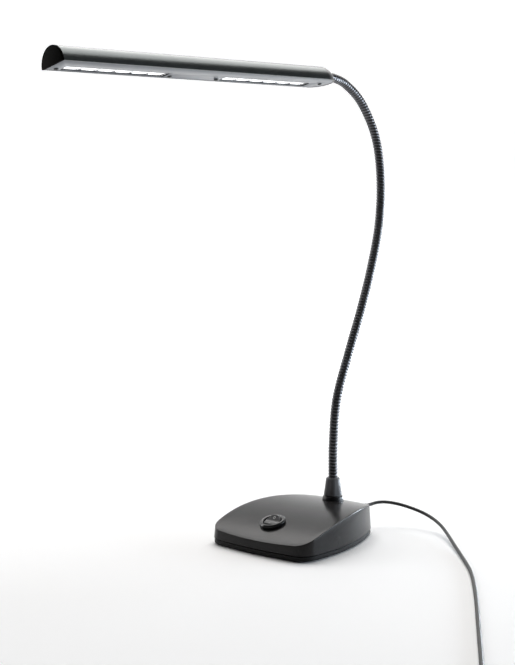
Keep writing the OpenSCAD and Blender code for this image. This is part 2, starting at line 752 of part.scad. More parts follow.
// Threaded lugs on the plate's inner side, held against the profile's wall
module plate_lugs() color(steel) in_head() for (s = lug_spots) difference() {
    translate([s[0] - lug[0] / 2 + 0.1, s[1] - lug[1] / 2, plate_top]) cube(lug);
    translate([s[0], s[1], 0]) cylinder(d = plate_screw_d + 2 * pin_gap, h = 20, $fn = 24);
}

function led_y(start, k) = start + window_l / 2 + (k - (leds - 1) / 2) * led_pitch;

module reflector(start) color(white) in_head() {
    x = window_x - reflector_w / 2;
    difference() {
        translate([x, start - 0.6, plate_top]) cube([reflector_w, window_l + 1.2, reflector_h]);
        intersection() {
            for (k = [0 : leds - 1]) translate([window_x, led_y(start, k), plate_top - 0.01])
                cylinder(r1 = cup_mouth_r, r2 = cup_top_r, h = reflector_h + 0.02);
            translate([x + 0.8, start + 0.4, 0]) cube([reflector_w - 1.6, window_l - 0.8, 20]);
        }
    }
}

module led_board(start) color(green) in_head()
    translate([window_x - board_w / 2, start - 0.6, plate_top + reflector_h])
        cube([board_w, window_l + 1.2, board_t]);

module led_row(start) color("lightyellow") in_head()
    for (k = [0 : leds - 1])
        translate([window_x - led_size / 2, led_y(start, k) - led_size / 2, plate_top + reflector_h - led_t])
            cube([led_size, led_size, led_t]);

lead_d = 2.4;
lead_x = 4;

module head_lead() color(black) in_head()
    translate([lead_x, window_starts[0] + window_l, plate_top + lead_d / 2]) rotate([-90, 0, 0])
        cylinder(d = lead_d, h = dome_at - window_starts[0] - window_l);

ferrule_at = tip_at + ferrule_out - ferrule_l;

module hose_ferrule() color(grey) in_head() translate([0, ferrule_at, hose_h]) rotate([-90, 0, 0])
    difference() {
        union() {
            cylinder(d = ferrule_d, h = ferrule_l - 0.6);
            translate([0, 0, ferrule_l - 0.6])
                cylinder(d1 = ferrule_d, d2 = ferrule_d - 0.8, h = 0.6);
            translate([0, 0, -stud_l]) cylinder(d = stud_d, h = stud_l);
        }
        translate([0, 0, ferrule_l - ferrule_deep]) cylinder(d = hose_d + 2 * socket_gap, h = 20);
        translate([0, 0, -stud_l - over]) cylinder(d = hose_bore, h = 2 * head_r);
    }

module ferrule_nut() color(steel) in_head()
    translate([0, boss_face - ferrule_nut_h, hose_h]) rotate([-90, 0, 0]) difference() {
        cylinder(d = 11.5, h = ferrule_nut_h, $fn = 6);
        translate([0, 0, -over]) cylinder(d = stud_d + 2 * pin_gap, h = ferrule_nut_h + 2 * over);
    }

// ---- cord ----
module cord_gland() color(black) at_gland() {
    translate([0, 0, -cover_wall - 0.4]) cylinder(d = gland_neck_d, h = cover_wall + 0.4);
    cylinder(d = gland_d, h = gland_flange);
    translate([0, 0, gland_flange])
        cylinder(d1 = gland_d - 0.4, d2 = cord_d + 0.6, h = gland_tail - gland_flange);
}

module power_cord() color(black) solid_tube(cord_line, cord_d / 2, 8, [0, 0, 1]);

module cord_coil() color(black) solid_tube(coil_line, cord_d / 2, 6, [0, 0, 1]);

tie_a = 200;
tie_w = 8;

module cord_tie() color(grey) {
    in_r = coil_mean_r - turn_step * layer_turns / 2 - cord_d / 2 - 0.2;
    out_r = coil_mean_r + turn_step * layer_turns / 2 + cord_d / 2 + 0.2;
    low = coil_low - cord_d / 2 - 0.1;
    high = coil_low + (layers - 1) * turn_step + cord_d / 2 + 0.2;
    translate(coil_c) rotate([0, 0, tie_a]) difference() {
        translate([in_r - tie_t, -tie_w / 2, low - tie_t])
            cube([out_r - in_r + 2 * tie_t, tie_w, high - low + 2 * tie_t]);
        translate([in_r, -tie_w, low]) cube([out_r - in_r, 2 * tie_w, high - low]);
    }
}

// The adapter lies on its side, its cord side towards the coil
module in_adapter() translate([coil_end[0], coil_end[1], 0]) rotate([0, 0, adapter_dir_a]) children();

module rounded_bar(x0, x1, w, h, r) hull()
    for (x = [x0, x1]) for (s = [-1, 1]) for (z = [r, h - r])
        translate([x, s * (w / 2 - r), z]) rotate([0, 90, 0]) cylinder(r = r, h = 0.01, $fn = 24);

module adapter_case() color(black) in_adapter() {
    split = relief_l + adapter_l * case_split;
    rounded_bar(relief_l, split, adapter_w, adapter_h, adapter_r);
    translate([0, 0, coil_end[2]]) rotate([0, 90, 0])
        cylinder(d1 = cord_d + 1.4, d2 = 7, h = relief_l);
}

module adapter_cover() color(black) in_adapter() {
    split = relief_l + adapter_l * case_split;
    rounded_bar(split + 0.05, relief_l + adapter_l, adapter_w, adapter_h, adapter_r);
}

module adapter_pins() color(steel) in_adapter()
    for (s = [-1, 1]) translate([relief_l + adapter_l + pin_gap, s * plug_pitch / 2, adapter_h / 2])
        rotate([0, 90, 0]) {
            cylinder(d = plug_pin_d, h = plug_pin_l - plug_pin_d / 2);
            translate([0, 0, plug_pin_l - plug_pin_d / 2]) sphere(d = plug_pin_d);
        }

base_cover();
base_tray();
base_pad();
ballast_plate();
tray_screws();
control_board();
board_parts();
board_standoffs();
switch_housing();
switch_rocker();
rocker_pin();
switch_terminals();
neck_flange();
neck_collar();
neck_fitting();
neck_washer();
neck_locknut();
hose_stretch(1);  // hose_01
hose_stretch(2);  // hose_02
hose_stretch(3);  // hose_03
hose_stretch(4);  // hose_04
hose_stretch(5);  // hose_05
hose_stretch(6);  // hose_06
hose_stretch(7);  // hose_07
hose_stretch(8);  // hose_08
hose_stretch(9);  // hose_09
hose_stretch(10);  // hose_10
hose_stretch(11);  // hose_11
hose_stretch(12);  // hose_12
hose_stretch(13);  // hose_13
hose_stretch(14);  // hose_14
hose_stretch(15);  // hose_15
hose_stretch(16);  // hose_16
hose_stretch(17);  // hose_17
hose_ferrule();
ferrule_nut();
head_profile();
head_front_cap();
head_neck_cap();
light_plate();
plate_screws();
plate_lugs();
reflector(window_starts[0]);  // reflector_front
reflector(window_starts[1]);  // reflector_rear
led_board(window_starts[0]);  // led_board_front
led_board(window_starts[1]);  // led_board_rear
led_row(window_starts[0]);  // leds_front
led_row(window_starts[1]);  // leds_rear
head_lead();
cord_gland();
power_cord();
cord_coil();
cord_tie();
adapter_case();
adapter_cover();
adapter_pins();
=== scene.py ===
from math import asin, atan, atan2, cos, hypot, pi, radians, sin, sqrt, tan

import bmesh
import bpy
from mathutils import Matrix, Vector

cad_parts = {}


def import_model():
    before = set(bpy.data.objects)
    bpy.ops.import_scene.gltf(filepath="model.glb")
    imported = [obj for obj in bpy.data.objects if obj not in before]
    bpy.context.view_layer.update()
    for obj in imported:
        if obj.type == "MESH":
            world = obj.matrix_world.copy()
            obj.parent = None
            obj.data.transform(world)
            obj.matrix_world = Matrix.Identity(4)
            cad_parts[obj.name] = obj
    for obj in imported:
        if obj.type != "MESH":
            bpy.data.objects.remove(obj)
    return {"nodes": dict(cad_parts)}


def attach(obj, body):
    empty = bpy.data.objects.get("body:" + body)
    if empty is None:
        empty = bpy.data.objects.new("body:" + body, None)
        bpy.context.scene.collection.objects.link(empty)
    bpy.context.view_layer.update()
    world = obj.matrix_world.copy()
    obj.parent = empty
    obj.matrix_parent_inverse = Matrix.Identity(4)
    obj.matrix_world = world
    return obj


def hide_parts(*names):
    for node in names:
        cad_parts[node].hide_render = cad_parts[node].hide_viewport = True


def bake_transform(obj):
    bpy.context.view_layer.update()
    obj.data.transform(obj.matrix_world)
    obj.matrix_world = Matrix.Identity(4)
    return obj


scene = bpy.context.scene
scene.view_settings.view_transform = "Standard"
mm = 0.001
turnBy, moveBy = Matrix.Rotation, Matrix.Translation


def linked(name, data):
    made = bpy.data.objects.new(name, data)
    scene.collection.objects.link(made)
    return made


def aim(thing, place, heading):
    thing.location = place
    thing.rotation_euler = Vector(heading).to_track_quat("-Z", "Y").to_euler()


# ---- camera ----
cameraView = {"place": (0.6951, -0.8668, 0.2765), "looks": (-0.654, 0.753, -0.0734), "lens": 64.96}

cameraData = bpy.data.cameras.new("camera")
cameraData.lens = cameraView["lens"]
cameraData.sensor_width = 36
cameraData.clip_end = 50
scene.camera = linked("camera", cameraData)
aim(scene.camera, cameraView["place"], cameraView["looks"])

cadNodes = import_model()["nodes"]
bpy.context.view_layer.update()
print("frame loaded:", len(cadNodes), "nodes")


# ---- node wiring, for materials and for geometry ----
class Wire:
    def __init__(self, kit, node, output=0):
        self.kit, self.node, self.socket = kit, node, node.outputs[output]

    def maths(self, operation, first, second):
        return self.kit.add("ShaderNodeMath", {"operation": operation}, {0: first, 1: second})

    def __add__(self, other):
        return self.maths("ADD", self, other)

    __radd__ = __add__

    def __sub__(self, other):
        return self.maths("SUBTRACT", self, other)

    def __rsub__(self, other):
        return self.maths("SUBTRACT", other, self)

    def __mul__(self, other):
        return self.maths("MULTIPLY", self, other)

    __rmul__ = __mul__

    def __truediv__(self, other):
        return self.maths("DIVIDE", self, other)

    def __pow__(self, other):
        return self.maths("POWER", self, other)

    def within(self, low, high):
        # 0 below low, 1 above high, with a soft step between
        return self.kit.add("ShaderNodeMapRange", {"interpolation_type": "SMOOTHSTEP"},
                            {"Value": self, "From Min": low, "From Max": high})


class NodeKit:
    def __init__(self, tree):
        self.tree = tree

    def add(self, kind, settings=None, inputs=None, output=0):
        node = self.tree.nodes.new(kind)
        for name, value in (settings or {}).items():
            setattr(node, name, value)
        for name, value in (inputs or {}).items():
            if isinstance(value, Wire):
                self.tree.links.new(value.socket, node.inputs[name])
            else:
                node.inputs[name].default_value = value
        return Wire(self, node, output)


# ---- finishes ----
def grey(value):
    return (value, value, value)


def rgb(colour, gain=1):
    return (*(min(1, part * gain) for part in colour), 1)


def mixColour(kit, share, first, second):
    return kit.add("ShaderNodeMix", {"data_type": "RGBA"}, {0: share, 6: first, 7: second}, 2)


def newMaterial(name):
    material = bpy.data.materials.new(name)
    material.use_nodes = True
    material.node_tree.nodes.clear()
    kit = NodeKit(material.node_tree)
    kit.material = material
    kit.output = kit.tree.nodes.new("ShaderNodeOutputMaterial")
    kit.coords = kit.add("ShaderNodeTexCoord", output="Object")
    return kit


def closeMaterial(kit, base, rough, height=None, depth=0, more=None):
    sockets = {"Base Color": base, "Roughness": rough, **(more or {})}
    if height is not None:
        sockets["Normal"] = kit.add("ShaderNodeBump", {}, {"Height": height, "Distance": depth})
    shader = kit.add("ShaderNodeBsdfPrincipled", {}, sockets)
    kit.tree.links.new(shader.socket, kit.output.inputs["Surface"])
    return kit.material


def noise(kit, scale, detail=2, rough=0.5, vector=None):
    return kit.add("ShaderNodeTexNoise", {}, {"Vector": vector or kit.coords, "Scale": scale,
                                              "Detail": detail, "Roughness": rough})


def marked(kit, attribute):
    return kit.add("ShaderNodeAttribute", {"attribute_name": attribute}, output="Fac")


# Moulded plastic: a fine spark-eroded grain, faint clouds in the gloss and a little dust
def mouldedPlastic(name, colour, lighter, gloss, shine=0.5, grain=2600, depth=0.00004):
    kit = newMaterial(name)
    clouds = noise(kit, 38, 4, 0.6)
    grains = noise(kit, grain, 2, 0.6)
    dust = noise(kit, 900, 3, 0.7).within(0.66, 0.8)
    base = mixColour(kit, clouds.within(0.3, 0.75), rgb(colour), rgb(lighter))
    base = mixColour(kit, dust * 0.12, base, rgb(grey(0.3)))
    rough = clouds * 0.1 + (gloss - 0.05) + dust * 0.08
    return closeMaterial(kit, base, rough, grains, depth, {"Specular IOR Level": shine})


# Soft rubber: matt, with a slight bloom
def softRubber(name, colour, bloom, gloss=0.62, grain=1400):
    kit = newMaterial(name)
    clouds = noise(kit, 90, 5, 0.65)
    base = mixColour(kit, clouds.within(0.45, 0.8), rgb(colour), rgb(bloom))
    return closeMaterial(kit, base, clouds * 0.16 + (gloss - 0.08), noise(kit, grain, 2, 0.6), 0.00004)


# Metal drawn or ground along one direction, under colour or bare
def drawnMetal(name, colour, lighter, gloss, metal, streak, turn=0, depth=0.000012):
    kit = newMaterial(name)
    laid = kit.add("ShaderNodeMapping", {}, {"Vector": kit.coords, "Scale": streak, "Rotation": (0, 0, turn)})
    streaks = noise(kit, 1, 4, 0.6, laid)
    specks = noise(kit, 1800).within(0.68, 0.78)
    base = mixColour(kit, streaks.within(0.3, 0.7), rgb(colour), rgb(lighter))
    base = mixColour(kit, specks * 0.2, base, rgb(lighter, 2.2))
    rough = streaks * 0.12 + noise(kit, 45, 3, 0.55) * 0.08 + (gloss - 0.1)
    return closeMaterial(kit, base, rough, streaks, depth, {"Metallic": metal})


# The hose: satin black strip, near black in its grooves as painted shade and rougher there, and a little
# rubbed on its ribs
def hoseMetal(name, groove, rib, worn):
    kit = newMaterial(name)
    crest = marked(kit, "crest")
    clouds = noise(kit, 160, 4, 0.6)
    rubbed = crest.within(0.8, 1) * clouds.within(0.45, 0.7)
    # grooves coloured near black as painted shade, ribs lighter
    base = mixColour(kit, crest.within(0.5, 0.9), rgb(groove), rgb(rib))
    base = mixColour(kit, rubbed * 0.5, base, rgb(worn))
    rough = 0.5 - crest * 0.24 + clouds * 0.08
    metal = crest.within(0.4, 0.8)
    return closeMaterial(kit, base, rough, noise(kit, 2400, 2, 0.6), 0.00001, {"Metallic": metal})


# White, with its own light where it stands for something lit, a painted glow where it is no lamp; masked ones
# are coloured near black as painted shade outside their cups, with no glow there
def litWhite(name, colour, glow, strength, gloss, shadedOutsideCups=False):
    kit = newMaterial(name)
    clouds = noise(kit, 220, 3)
    base = mixColour(kit, clouds, rgb(colour), rgb(colour, 0.96))
    light = rgb(glow)
    if shadedOutsideCups:
        cup = marked(kit, "cup")
        # outside the cups: near-black painted shade and no painted glow
        base = mixColour(kit, cup, rgb((0.035, 0.035, 0.04)), base)
        light = mixColour(kit, cup, rgb(grey(0)), light)
    return closeMaterial(kit, base, clouds * 0.1 + gloss, noise(kit, 1500), 0.00001,
                         {"Emission Color": light, "Emission Strength": strength})


# Circuit board: green mask over a grid of copper tracks
def boardFinish(name, mask, track):
    kit = newMaterial(name)
    cells = kit.add("ShaderNodeTexVoronoi", {"feature": "DISTANCE_TO_EDGE", "distance": "MANHATTAN"},
                    {"Vector": kit.coords, "Scale": 320})
    lines = cells.within(0.05, 0.09)
    base = mixColour(kit, lines, rgb(track), rgb(mask))
    return closeMaterial(kit, base, noise(kit, 60, 3) * 0.15 + 0.25, lines, 0.00003)


# The studio's floor, which glows from a little way off, as a lit backdrop does
def glowingFloor(name, colour, strength, glowFrom):
    kit = newMaterial(name)
    away = kit.add("ShaderNodeVectorMath", {"operation": "LENGTH"}, {0: kit.coords}, "Value")
    base = mixColour(kit, noise(kit, 3), rgb(colour), rgb(colour, 0.99))
    glow = mixColour(kit, away.within(*glowFrom), rgb(grey(0)), rgb(grey(1)))
    return closeMaterial(kit, base, 0.6, more={"Emission Strength": strength, "Emission Color": glow})


headLine = 0.1326  # turn of the head's long axis, for grain that runs along it
evenGrain = grey(300)
finishTable = {
    "coverPlastic": (mouldedPlastic, (0.012, 0.011, 0.0115), (0.016, 0.015, 0.015), 0.23, 0.19, 2600,
                     0.00001),
    "trayPlastic": (mouldedPlastic, grey(0.004), grey(0.006), 0.5, 0.19),
    "switchPlastic": (mouldedPlastic, (0.01, 0.01, 0.011), (0.014, 0.014, 0.015), 0.22, 0.5, 1800, 0.00001),
    "rockerPlastic": (mouldedPlastic, (0.035, 0.035, 0.037), (0.045, 0.045, 0.047), 0.34, 0.5, 1200, 0.00001),
    "adapterPlastic": (mouldedPlastic, grey(0.012), grey(0.018), 0.5),
    "componentPlastic": (mouldedPlastic, grey(0.02), grey(0.03), 0.4),
    "capPlastic": (mouldedPlastic, (0.002, 0.002, 0.0017), (0.003, 0.003, 0.0025), 0.6, 0.01),
    "padRubber": (softRubber, grey(0.018), (0.035, 0.035, 0.034)),
    "cordJacket": (softRubber, grey(0.012), grey(0.022), 0.48),
    "glandRubber": (softRubber, grey(0.01), grey(0.02), 0.55),
    "collarMetal": (mouldedPlastic, (0.13, 0.13, 0.136), (0.15, 0.15, 0.156), 0.42, 0.22),
    "flangeMetal": (drawnMetal, (0.012, 0.012, 0.013), (0.02, 0.02, 0.022), 0.35, 0.3, (60, 60, 900)),
    "ferruleMetal": (drawnMetal, (0.3, 0.3, 0.31), (0.42, 0.42, 0.43), 0.28, 0.9, (700, 60, 700)),
    "profileMetal": (drawnMetal, (0.078, 0.086, 0.086), (0.094, 0.102, 0.102), 0.31, 0.85, (1400, 12, 1400),
                     headLine),
    "domePlastic": (drawnMetal, (0.07, 0.072, 0.074), (0.085, 0.087, 0.09), 0.34, 0.75, evenGrain),
    "plateMetal": (drawnMetal, (0.085, 0.095, 0.11), (0.105, 0.115, 0.13), 0.3, 0.3, (900, 8, 900), headLine,
                   0.000004),
    "cutEdge": (mouldedPlastic, (0.05, 0.05, 0.055), (0.065, 0.065, 0.07), 0.6, 0.2),
    "screwSteel": (drawnMetal, (0.5, 0.5, 0.51), grey(0.6), 0.3, 1, evenGrain),
    "darkScrew": (drawnMetal, grey(0.03), grey(0.05), 0.35, 0.8, evenGrain),
    "plateSteel": (drawnMetal, (0.35, 0.34, 0.33), (0.46, 0.45, 0.44), 0.42, 0.9, (700, 14, 300)),
    "pinSteel": (drawnMetal, grey(0.7), grey(0.8), 0.18, 1, (60, 900, 900)),
    "tinnedBrass": (drawnMetal, (0.55, 0.5, 0.4), (0.7, 0.65, 0.55), 0.3, 1, (60, 600, 900)),
    # the hose's groove colour is painted shade
    "hoseMetal": (hoseMetal, (0.004, 0.004, 0.0045), (0.1, 0.1, 0.108), (0.2, 0.2, 0.21)),
    # the reflector's glow is painted light and its dark land outside the cups is painted shade
    "reflectorWhite": (litWhite, (0.92, 0.93, 0.95), grey(1), 0.6, 0.3, True),
    "lampChip": (litWhite, (0.95, 0.9, 0.6), (1, 0.97, 0.9), 2.2, 0.35),
    "markWhite": (litWhite, grey(0.8), grey(0), 0, 0.45),
    "boardMask": (boardFinish, (0.01, 0.09, 0.035), (0.05, 0.2, 0.07)),
    "tieFabric": (softRubber, grey(0.02), grey(0.05), 0.85, 2200),
    "paleFloor": (glowingFloor, grey(0.95), 0.62, (0.7, 2))}
finishes = {name: make(name, *values) for name, (make, *values) in finishTable.items()}
print("finishes made:", len(finishes))


# ---- mesh helpers, in millimetres; a form is a list of points and one of faces ----
def meshPiece(name, form, finish, matrix=None, smooth=40):
    points, faces = form
    mesh = bpy.data.meshes.new(name)
    if matrix is not None:
        points = [matrix @ Vector(p) for p in points]
    mesh.from_pydata([[c * mm for c in p] for p in points], [], faces)
    mesh.materials.append(finishes[finish])
    piece = linked(name, mesh)
    tidyMesh(piece, smooth)
    return piece


def tidyMesh(piece, smooth, merge=0.000002):
    shape = bmesh.new()
    shape.from_mesh(piece.data)
    bmesh.ops.remove_doubles(shape, verts=shape.verts, dist=merge)
    bmesh.ops.dissolve_degenerate(shape, edges=shape.edges, dist=merge)
    bmesh.ops.recalc_face_normals(shape, faces=shape.faces)
    for face in shape.faces:
        face.smooth = True
    for edge in shape.edges:
        edge.smooth = len(edge.link_faces) == 2 and edge.calc_face_angle(0) < radians(smooth)
    shape.to_mesh(piece.data)
    shape.free()
    piece.data.update()


# The piece rides on a body and stands for CAD nodes, which are hidden
def settle(piece, body, slotName, *nodeNames):
    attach(piece, body)
    if nodeNames:
        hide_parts(*nodeNames)


def polar(radius, turn):
    return radius * cos(turn), radius * sin(turn)


def turnsRound(sides):
    return [2 * pi * k / sides for k in range(sides)]


def loft(rings, closed=True, looped=True):
    sides = len(rings[0])
    points = [p for ring in rings for p in ring]
    faces = []
    for i in range(len(rings) - 1):
        for j in range(sides if looped else sides - 1):
            k = (j + 1) % sides
            faces.append((i * sides + j, i * sides + k, (i + 1) * sides + k, (i + 1) * sides + j))
    if closed:
        faces.append(tuple(range(sides - 1, -1, -1)))
        faces.append(tuple(range(len(points) - sides, len(points))))
    return points, faces


def softProfile(corners, steps):
    # corners are (radius, height, rounding); each rounded one becomes a short arc
    made = []
    for i, (r, z, rounding) in enumerate(corners):
        here = Vector((r, z))
        if rounding <= 0 or i in (0, len(corners) - 1):
            made.append((r, z))
            continue
        before, after = Vector(corners[i - 1][:2]), Vector(corners[i + 1][:2])
        inward, outward = (before - here).normalized(), (after - here).normalized()
        angle = inward.angle(outward)
        reach = min(rounding / tan(angle / 2), (before - here).length * 0.49, (after - here).length * 0.49)
        radius = reach * tan(angle / 2)
        centre = here + (inward + outward).normalized() * (radius / sin(angle / 2))
        first, last = here + inward * reach - centre, here + outward * reach - centre
        turn = first.angle(last)
        side = 1 if first.x * last.y - first.y * last.x > 0 else -1
        for k in range(steps + 1):
            a = side * turn * k / steps
            made.append((centre.x + first.x * cos(a) - first.y * sin(a),
                         centre.y + first.x * sin(a) + first.y * cos(a)))
    return made


# A turned form: its first and last corner alike make it a ring, otherwise its ends are closed
def turned(corners, sides=72, steps=4):
    rings = [[(*polar(r, turn), z) for turn in turnsRound(sides)] for r, z in softProfile(corners, steps)]
    return loft(rings, corners[0][:2] != corners[-1][:2])


def plug(radius, low, high, sides=72):
    return turned([(0, low, 0), (radius, low, 0), (radius, high, 0), (0, high, 0)], sides)


def bakeModifiers(piece, smooth=None):
    depsgraph = bpy.context.evaluated_depsgraph_get()
    baked = bpy.data.meshes.new_from_object(piece.evaluated_get(depsgraph))
    piece.modifiers.clear()
    piece.data = baked
    if smooth is not None:
        tidyMesh(piece, smooth)


def easeEdges(piece, width, segments, angle, smooth):
    bevel = piece.modifiers.new("softEdges", "BEVEL")
    bevel.width = width * mm
    bevel.segments = segments
    bevel.limit_method = "ANGLE"
    bevel.angle_limit = radians(angle)
    bevel.harden_normals = False
    bakeModifiers(piece, smooth)


# A copy of a CAD node on the base with its edges eased, which then stands for it
def easedCopy(nodeName, pieceName, finish, slotName, *easing):
    mesh = cadNodes[nodeName].data.copy()
    mesh.materials.clear()
    mesh.materials.append(finishes[finish])
    piece = linked(pieceName, mesh)
    shape = bmesh.new()
    shape.from_mesh(mesh)
    bmesh.ops.remove_doubles(shape, verts=shape.verts, dist=0.00001)
    bmesh.ops.dissolve_limit(shape, angle_limit=radians(1), verts=shape.verts, edges=shape.edges)
    shape.to_mesh(mesh)
    shape.free()
    easeEdges(piece, *easing)
    settle(piece, "base", slotName, nodeName)
    return piece


# Cuts forms out of a piece, each with its matrix; their finish shows on the cut
def cutWith(piece, finish, forms, smooth=None, operation="DIFFERENCE"):
    cutters = [meshPiece("cutter", form, finish, matrix) for form, matrix in forms]
    for cutter in cutters:
        cut = piece.modifiers.new("cut", "BOOLEAN")
        cut.operation = operation
        cut.object = cutter
        cut.solver = "EXACT"
        cut.material_mode = "TRANSFER"
    bakeModifiers(piece, smooth)
    for cutter in cutters:
        bpy.data.objects.remove(cutter)


# ---- base ----
baseSizes = {"width": 118.2, "front": 73.8, "rear": 71.6, "frontArc": 327, "sideArc": 201, "rearArc": 97,
             "frontCorner": 16, "rearCorner": 28, "sideLean": 10.4, "crownHeight": 32, "crownRadius": 222,
             "crownBack": 16.5, "draft": 0.035, "wall": 2.4, "trayFloor": 0.8, "trayTop": 5, "coverFoot": 5.6,
             "trayStep": 0.5, "trayRim": 2.4, "trayMiddle": 14, "edge": 0.7, "innerEdge": 0.6, "trayEdge": 1.2,
             "clearance": 0.15}
frontRadius, sideRadius, rearRadius = (baseSizes[k] for k in ("frontArc", "sideArc", "rearArc"))
frontCentre = Vector((0, frontRadius - baseSizes["front"]))
rearCentre = Vector((0, baseSizes["rear"] - rearRadius))
sideCentre = Vector((baseSizes["width"] / 2 - sideRadius, -sideRadius * sin(radians(baseSizes["sideLean"]))))


# Where two circles meet, to one side of the line between their middles
def meet(a, ra, b, rb, side):
    d = b - a
    length = d.length
    x = (ra * ra - rb * rb + length * length) / (2 * length)
    h = sqrt(ra * ra - x * x)
    u = d / length
    return a + u * x + side * h * Vector((-u.y, u.x))


frontCorner = meet(frontCentre, frontRadius - baseSizes["frontCorner"],
                   sideCentre, sideRadius - baseSizes["frontCorner"], 1)
rearCorner = meet(rearCentre, rearRadius - baseSizes["rearCorner"],
                  sideCentre, sideRadius - baseSizes["rearCorner"], -1)


def headingOf(v):
    return atan2(v.y, v.x)


# middle, radius and steps of each arc round the right half, from the front to the rear
outlineArcs = ((frontCentre, frontRadius, 12), (frontCorner, baseSizes["frontCorner"], 16),
               (sideCentre, sideRadius, 22), (rearCorner, baseSizes["rearCorner"], 16),
               (rearCentre, rearRadius, 8))
outlineTurns = (-pi / 2, headingOf(frontCorner - frontCentre), headingOf(frontCorner - sideCentre),
                headingOf(rearCorner - sideCentre), headingOf(rearCorner - rearCentre), pi / 2)


def baseOutline(inset):
    half = []
    for (centre, radius, steps), start, end in zip(outlineArcs, outlineTurns, outlineTurns[1:]):
        for k in range(1 if half else 0, steps + 1):
            x, y = polar(radius - inset, start + (end - start) * k / steps)
            half.append((centre.x + x, centre.y + y))
    return half + [(-x, y) for x, y in half[-2:0:-1]]


def crownAt(y):
    r = baseSizes["crownRadius"]
    return baseSizes["crownHeight"] - r + sqrt(r * r - (y - baseSizes["crownBack"]) ** 2)


def draftAt(z):
    return 1 - baseSizes["draft"] * (z - baseSizes["coverFoot"]) / baseSizes["crownHeight"]


def crownMatrix(y, drop):
    lean = asin((baseSizes["crownBack"] - y) / baseSizes["crownRadius"])
    return moveBy((0, y, crownAt(y) - drop)) @ turnBy(lean, 4, "X")


# Rings of one skin of the cover: up the walls, over the eased edge and in across the crown
def coverRings(inset, drop, edge, walls=5, bends=5, tops=14):
    foot = baseSizes["coverFoot"]
    low = baseOutline(inset)
    ends = [crownAt(y * draftAt(crownAt(y) - drop)) - drop - edge for x, y in low]
    rings = []
    for k in range(walls + 1):
        heights = [foot + (end - foot) * k / walls for end in ends]
        rings.append([(x * draftAt(z), y * draftAt(z), z) for (x, y), z in zip(low, heights)])
    for k in range(1, bends + 1):
        a = pi / 2 * k / bends
        cut = baseOutline(inset + edge * (1 - cos(a)))
        rings.append([(x * draftAt(end), y * draftAt(end), end + edge * sin(a))
                      for (x, y), end in zip(cut, ends)])
    rim = rings[-1]
    for k in range(1, tops + 1):
        s = 1 - k / tops * 0.985
        rings.append([(x * s, y * s, crownAt(y * s) - drop - (crownAt(y) - drop - z) * s ** 6)
                      for x, y, z in rim])
    return rings


switchSizes = {"forward": 45, "seat": 0.5, "bezel": 12, "rise": 4, "barrel": 10, "deep": 10.5, "floor": 1.5,
               "rocker": 8.15, "bore": 8.35, "tilt": 10, "pivot": 0.6, "hollow": 2.2, "dish": 0.058,
               "drop": 4}
neckSizes = {"back": 44.4, "seatDrop": 0.4, "seat": 10.9, "seatDeep": 3.4, "bore": 5.15, "flange": 10.1,
             "flangeWall": 2.4, "flangeTop": 9.3, "flangeRise": 4.6, "collarFoot": 18.2, "collarRise": 17.2}
neckBack = neckSizes["back"]
seatHeight = crownAt(neckBack) - neckSizes["seatDrop"]
seatMatrix = moveBy((0, neckBack, seatHeight))
switchMatrix = crownMatrix(-switchSizes["forward"], switchSizes["seat"])


def buildCover():
    s = baseSizes
    outer = coverRings(0, 0, s["edge"])
    inner = coverRings(s["wall"], s["wall"], s["innerEdge"])
    eased = [[(x * 0.997, y * 0.997, z) for x, y, z in outer[0]]]
    outer[0] = [(x, y, z + 0.25) for x, y, z in outer[0]]
    cover = meshPiece("baseCover", loft(list(reversed(inner)) + eased + outer), "coverPlastic", smooth=32)
    seat, deep = neckSizes["seat"], -neckSizes["seatDeep"]
    level = turned([(0, deep, 0), (seat, deep, 0), (seat, 0, 0.3), (0, 0, 0)])
    cutWith(cover, "coverPlastic", [(level, seatMatrix)], operation="UNION")
    cutWith(cover, "coverPlastic", [(plug(radius + s["clearance"], low, high), matrix)
                                    for matrix, radius, low, high in (
                                        (switchMatrix, switchSizes["bezel"], 0, 8),
                                        (switchMatrix, switchSizes["barrel"], -12, 4),
                                        (seatMatrix, neckSizes["flange"], 0, 8))], 32)
    settle(cover, "base", "cover_plastic", "base_cover")


def buildTray():
    low, high, step, edge, rim = (baseSizes[k] for k in ("trayFloor", "trayTop", "trayStep", "trayEdge",
                                                         "trayRim"))
    lip, middle = baseSizes["wall"] + 0.4, step + baseSizes["trayMiddle"]
    stations = [(middle, low), (step + edge + 0.3, low)]
    for k in range(5):
        a = pi / 2 * k / 4
        stations.append((step + edge * (1 - sin(a)), low + edge * (1 - cos(a))))
    stations += [(step, high - 0.25), (step + 0.25, high), (lip, high), (lip, high + rim),
                 (lip + 1.6, high + rim), (lip + 1.6, low + 3), (middle, low + 3)]
    rings = [[(x, y, z) for x, y in baseOutline(min(inset, 13.5))] for inset, z in stations]
    settle(meshPiece("baseTray", loft(rings), "trayPlastic", smooth=32), "base", "tray_plastic", "base_tray")


buildCover()
buildTray()
print("base built")


# ---- rocker switch ----
# generic marks: a ring on the far half, a bar on the near one
markSizes = {"place": 4, "ringOuter": 1.3, "ringInner": 0.95, "barLong": 2.4, "barWide": 0.4, "proud": 0.05}


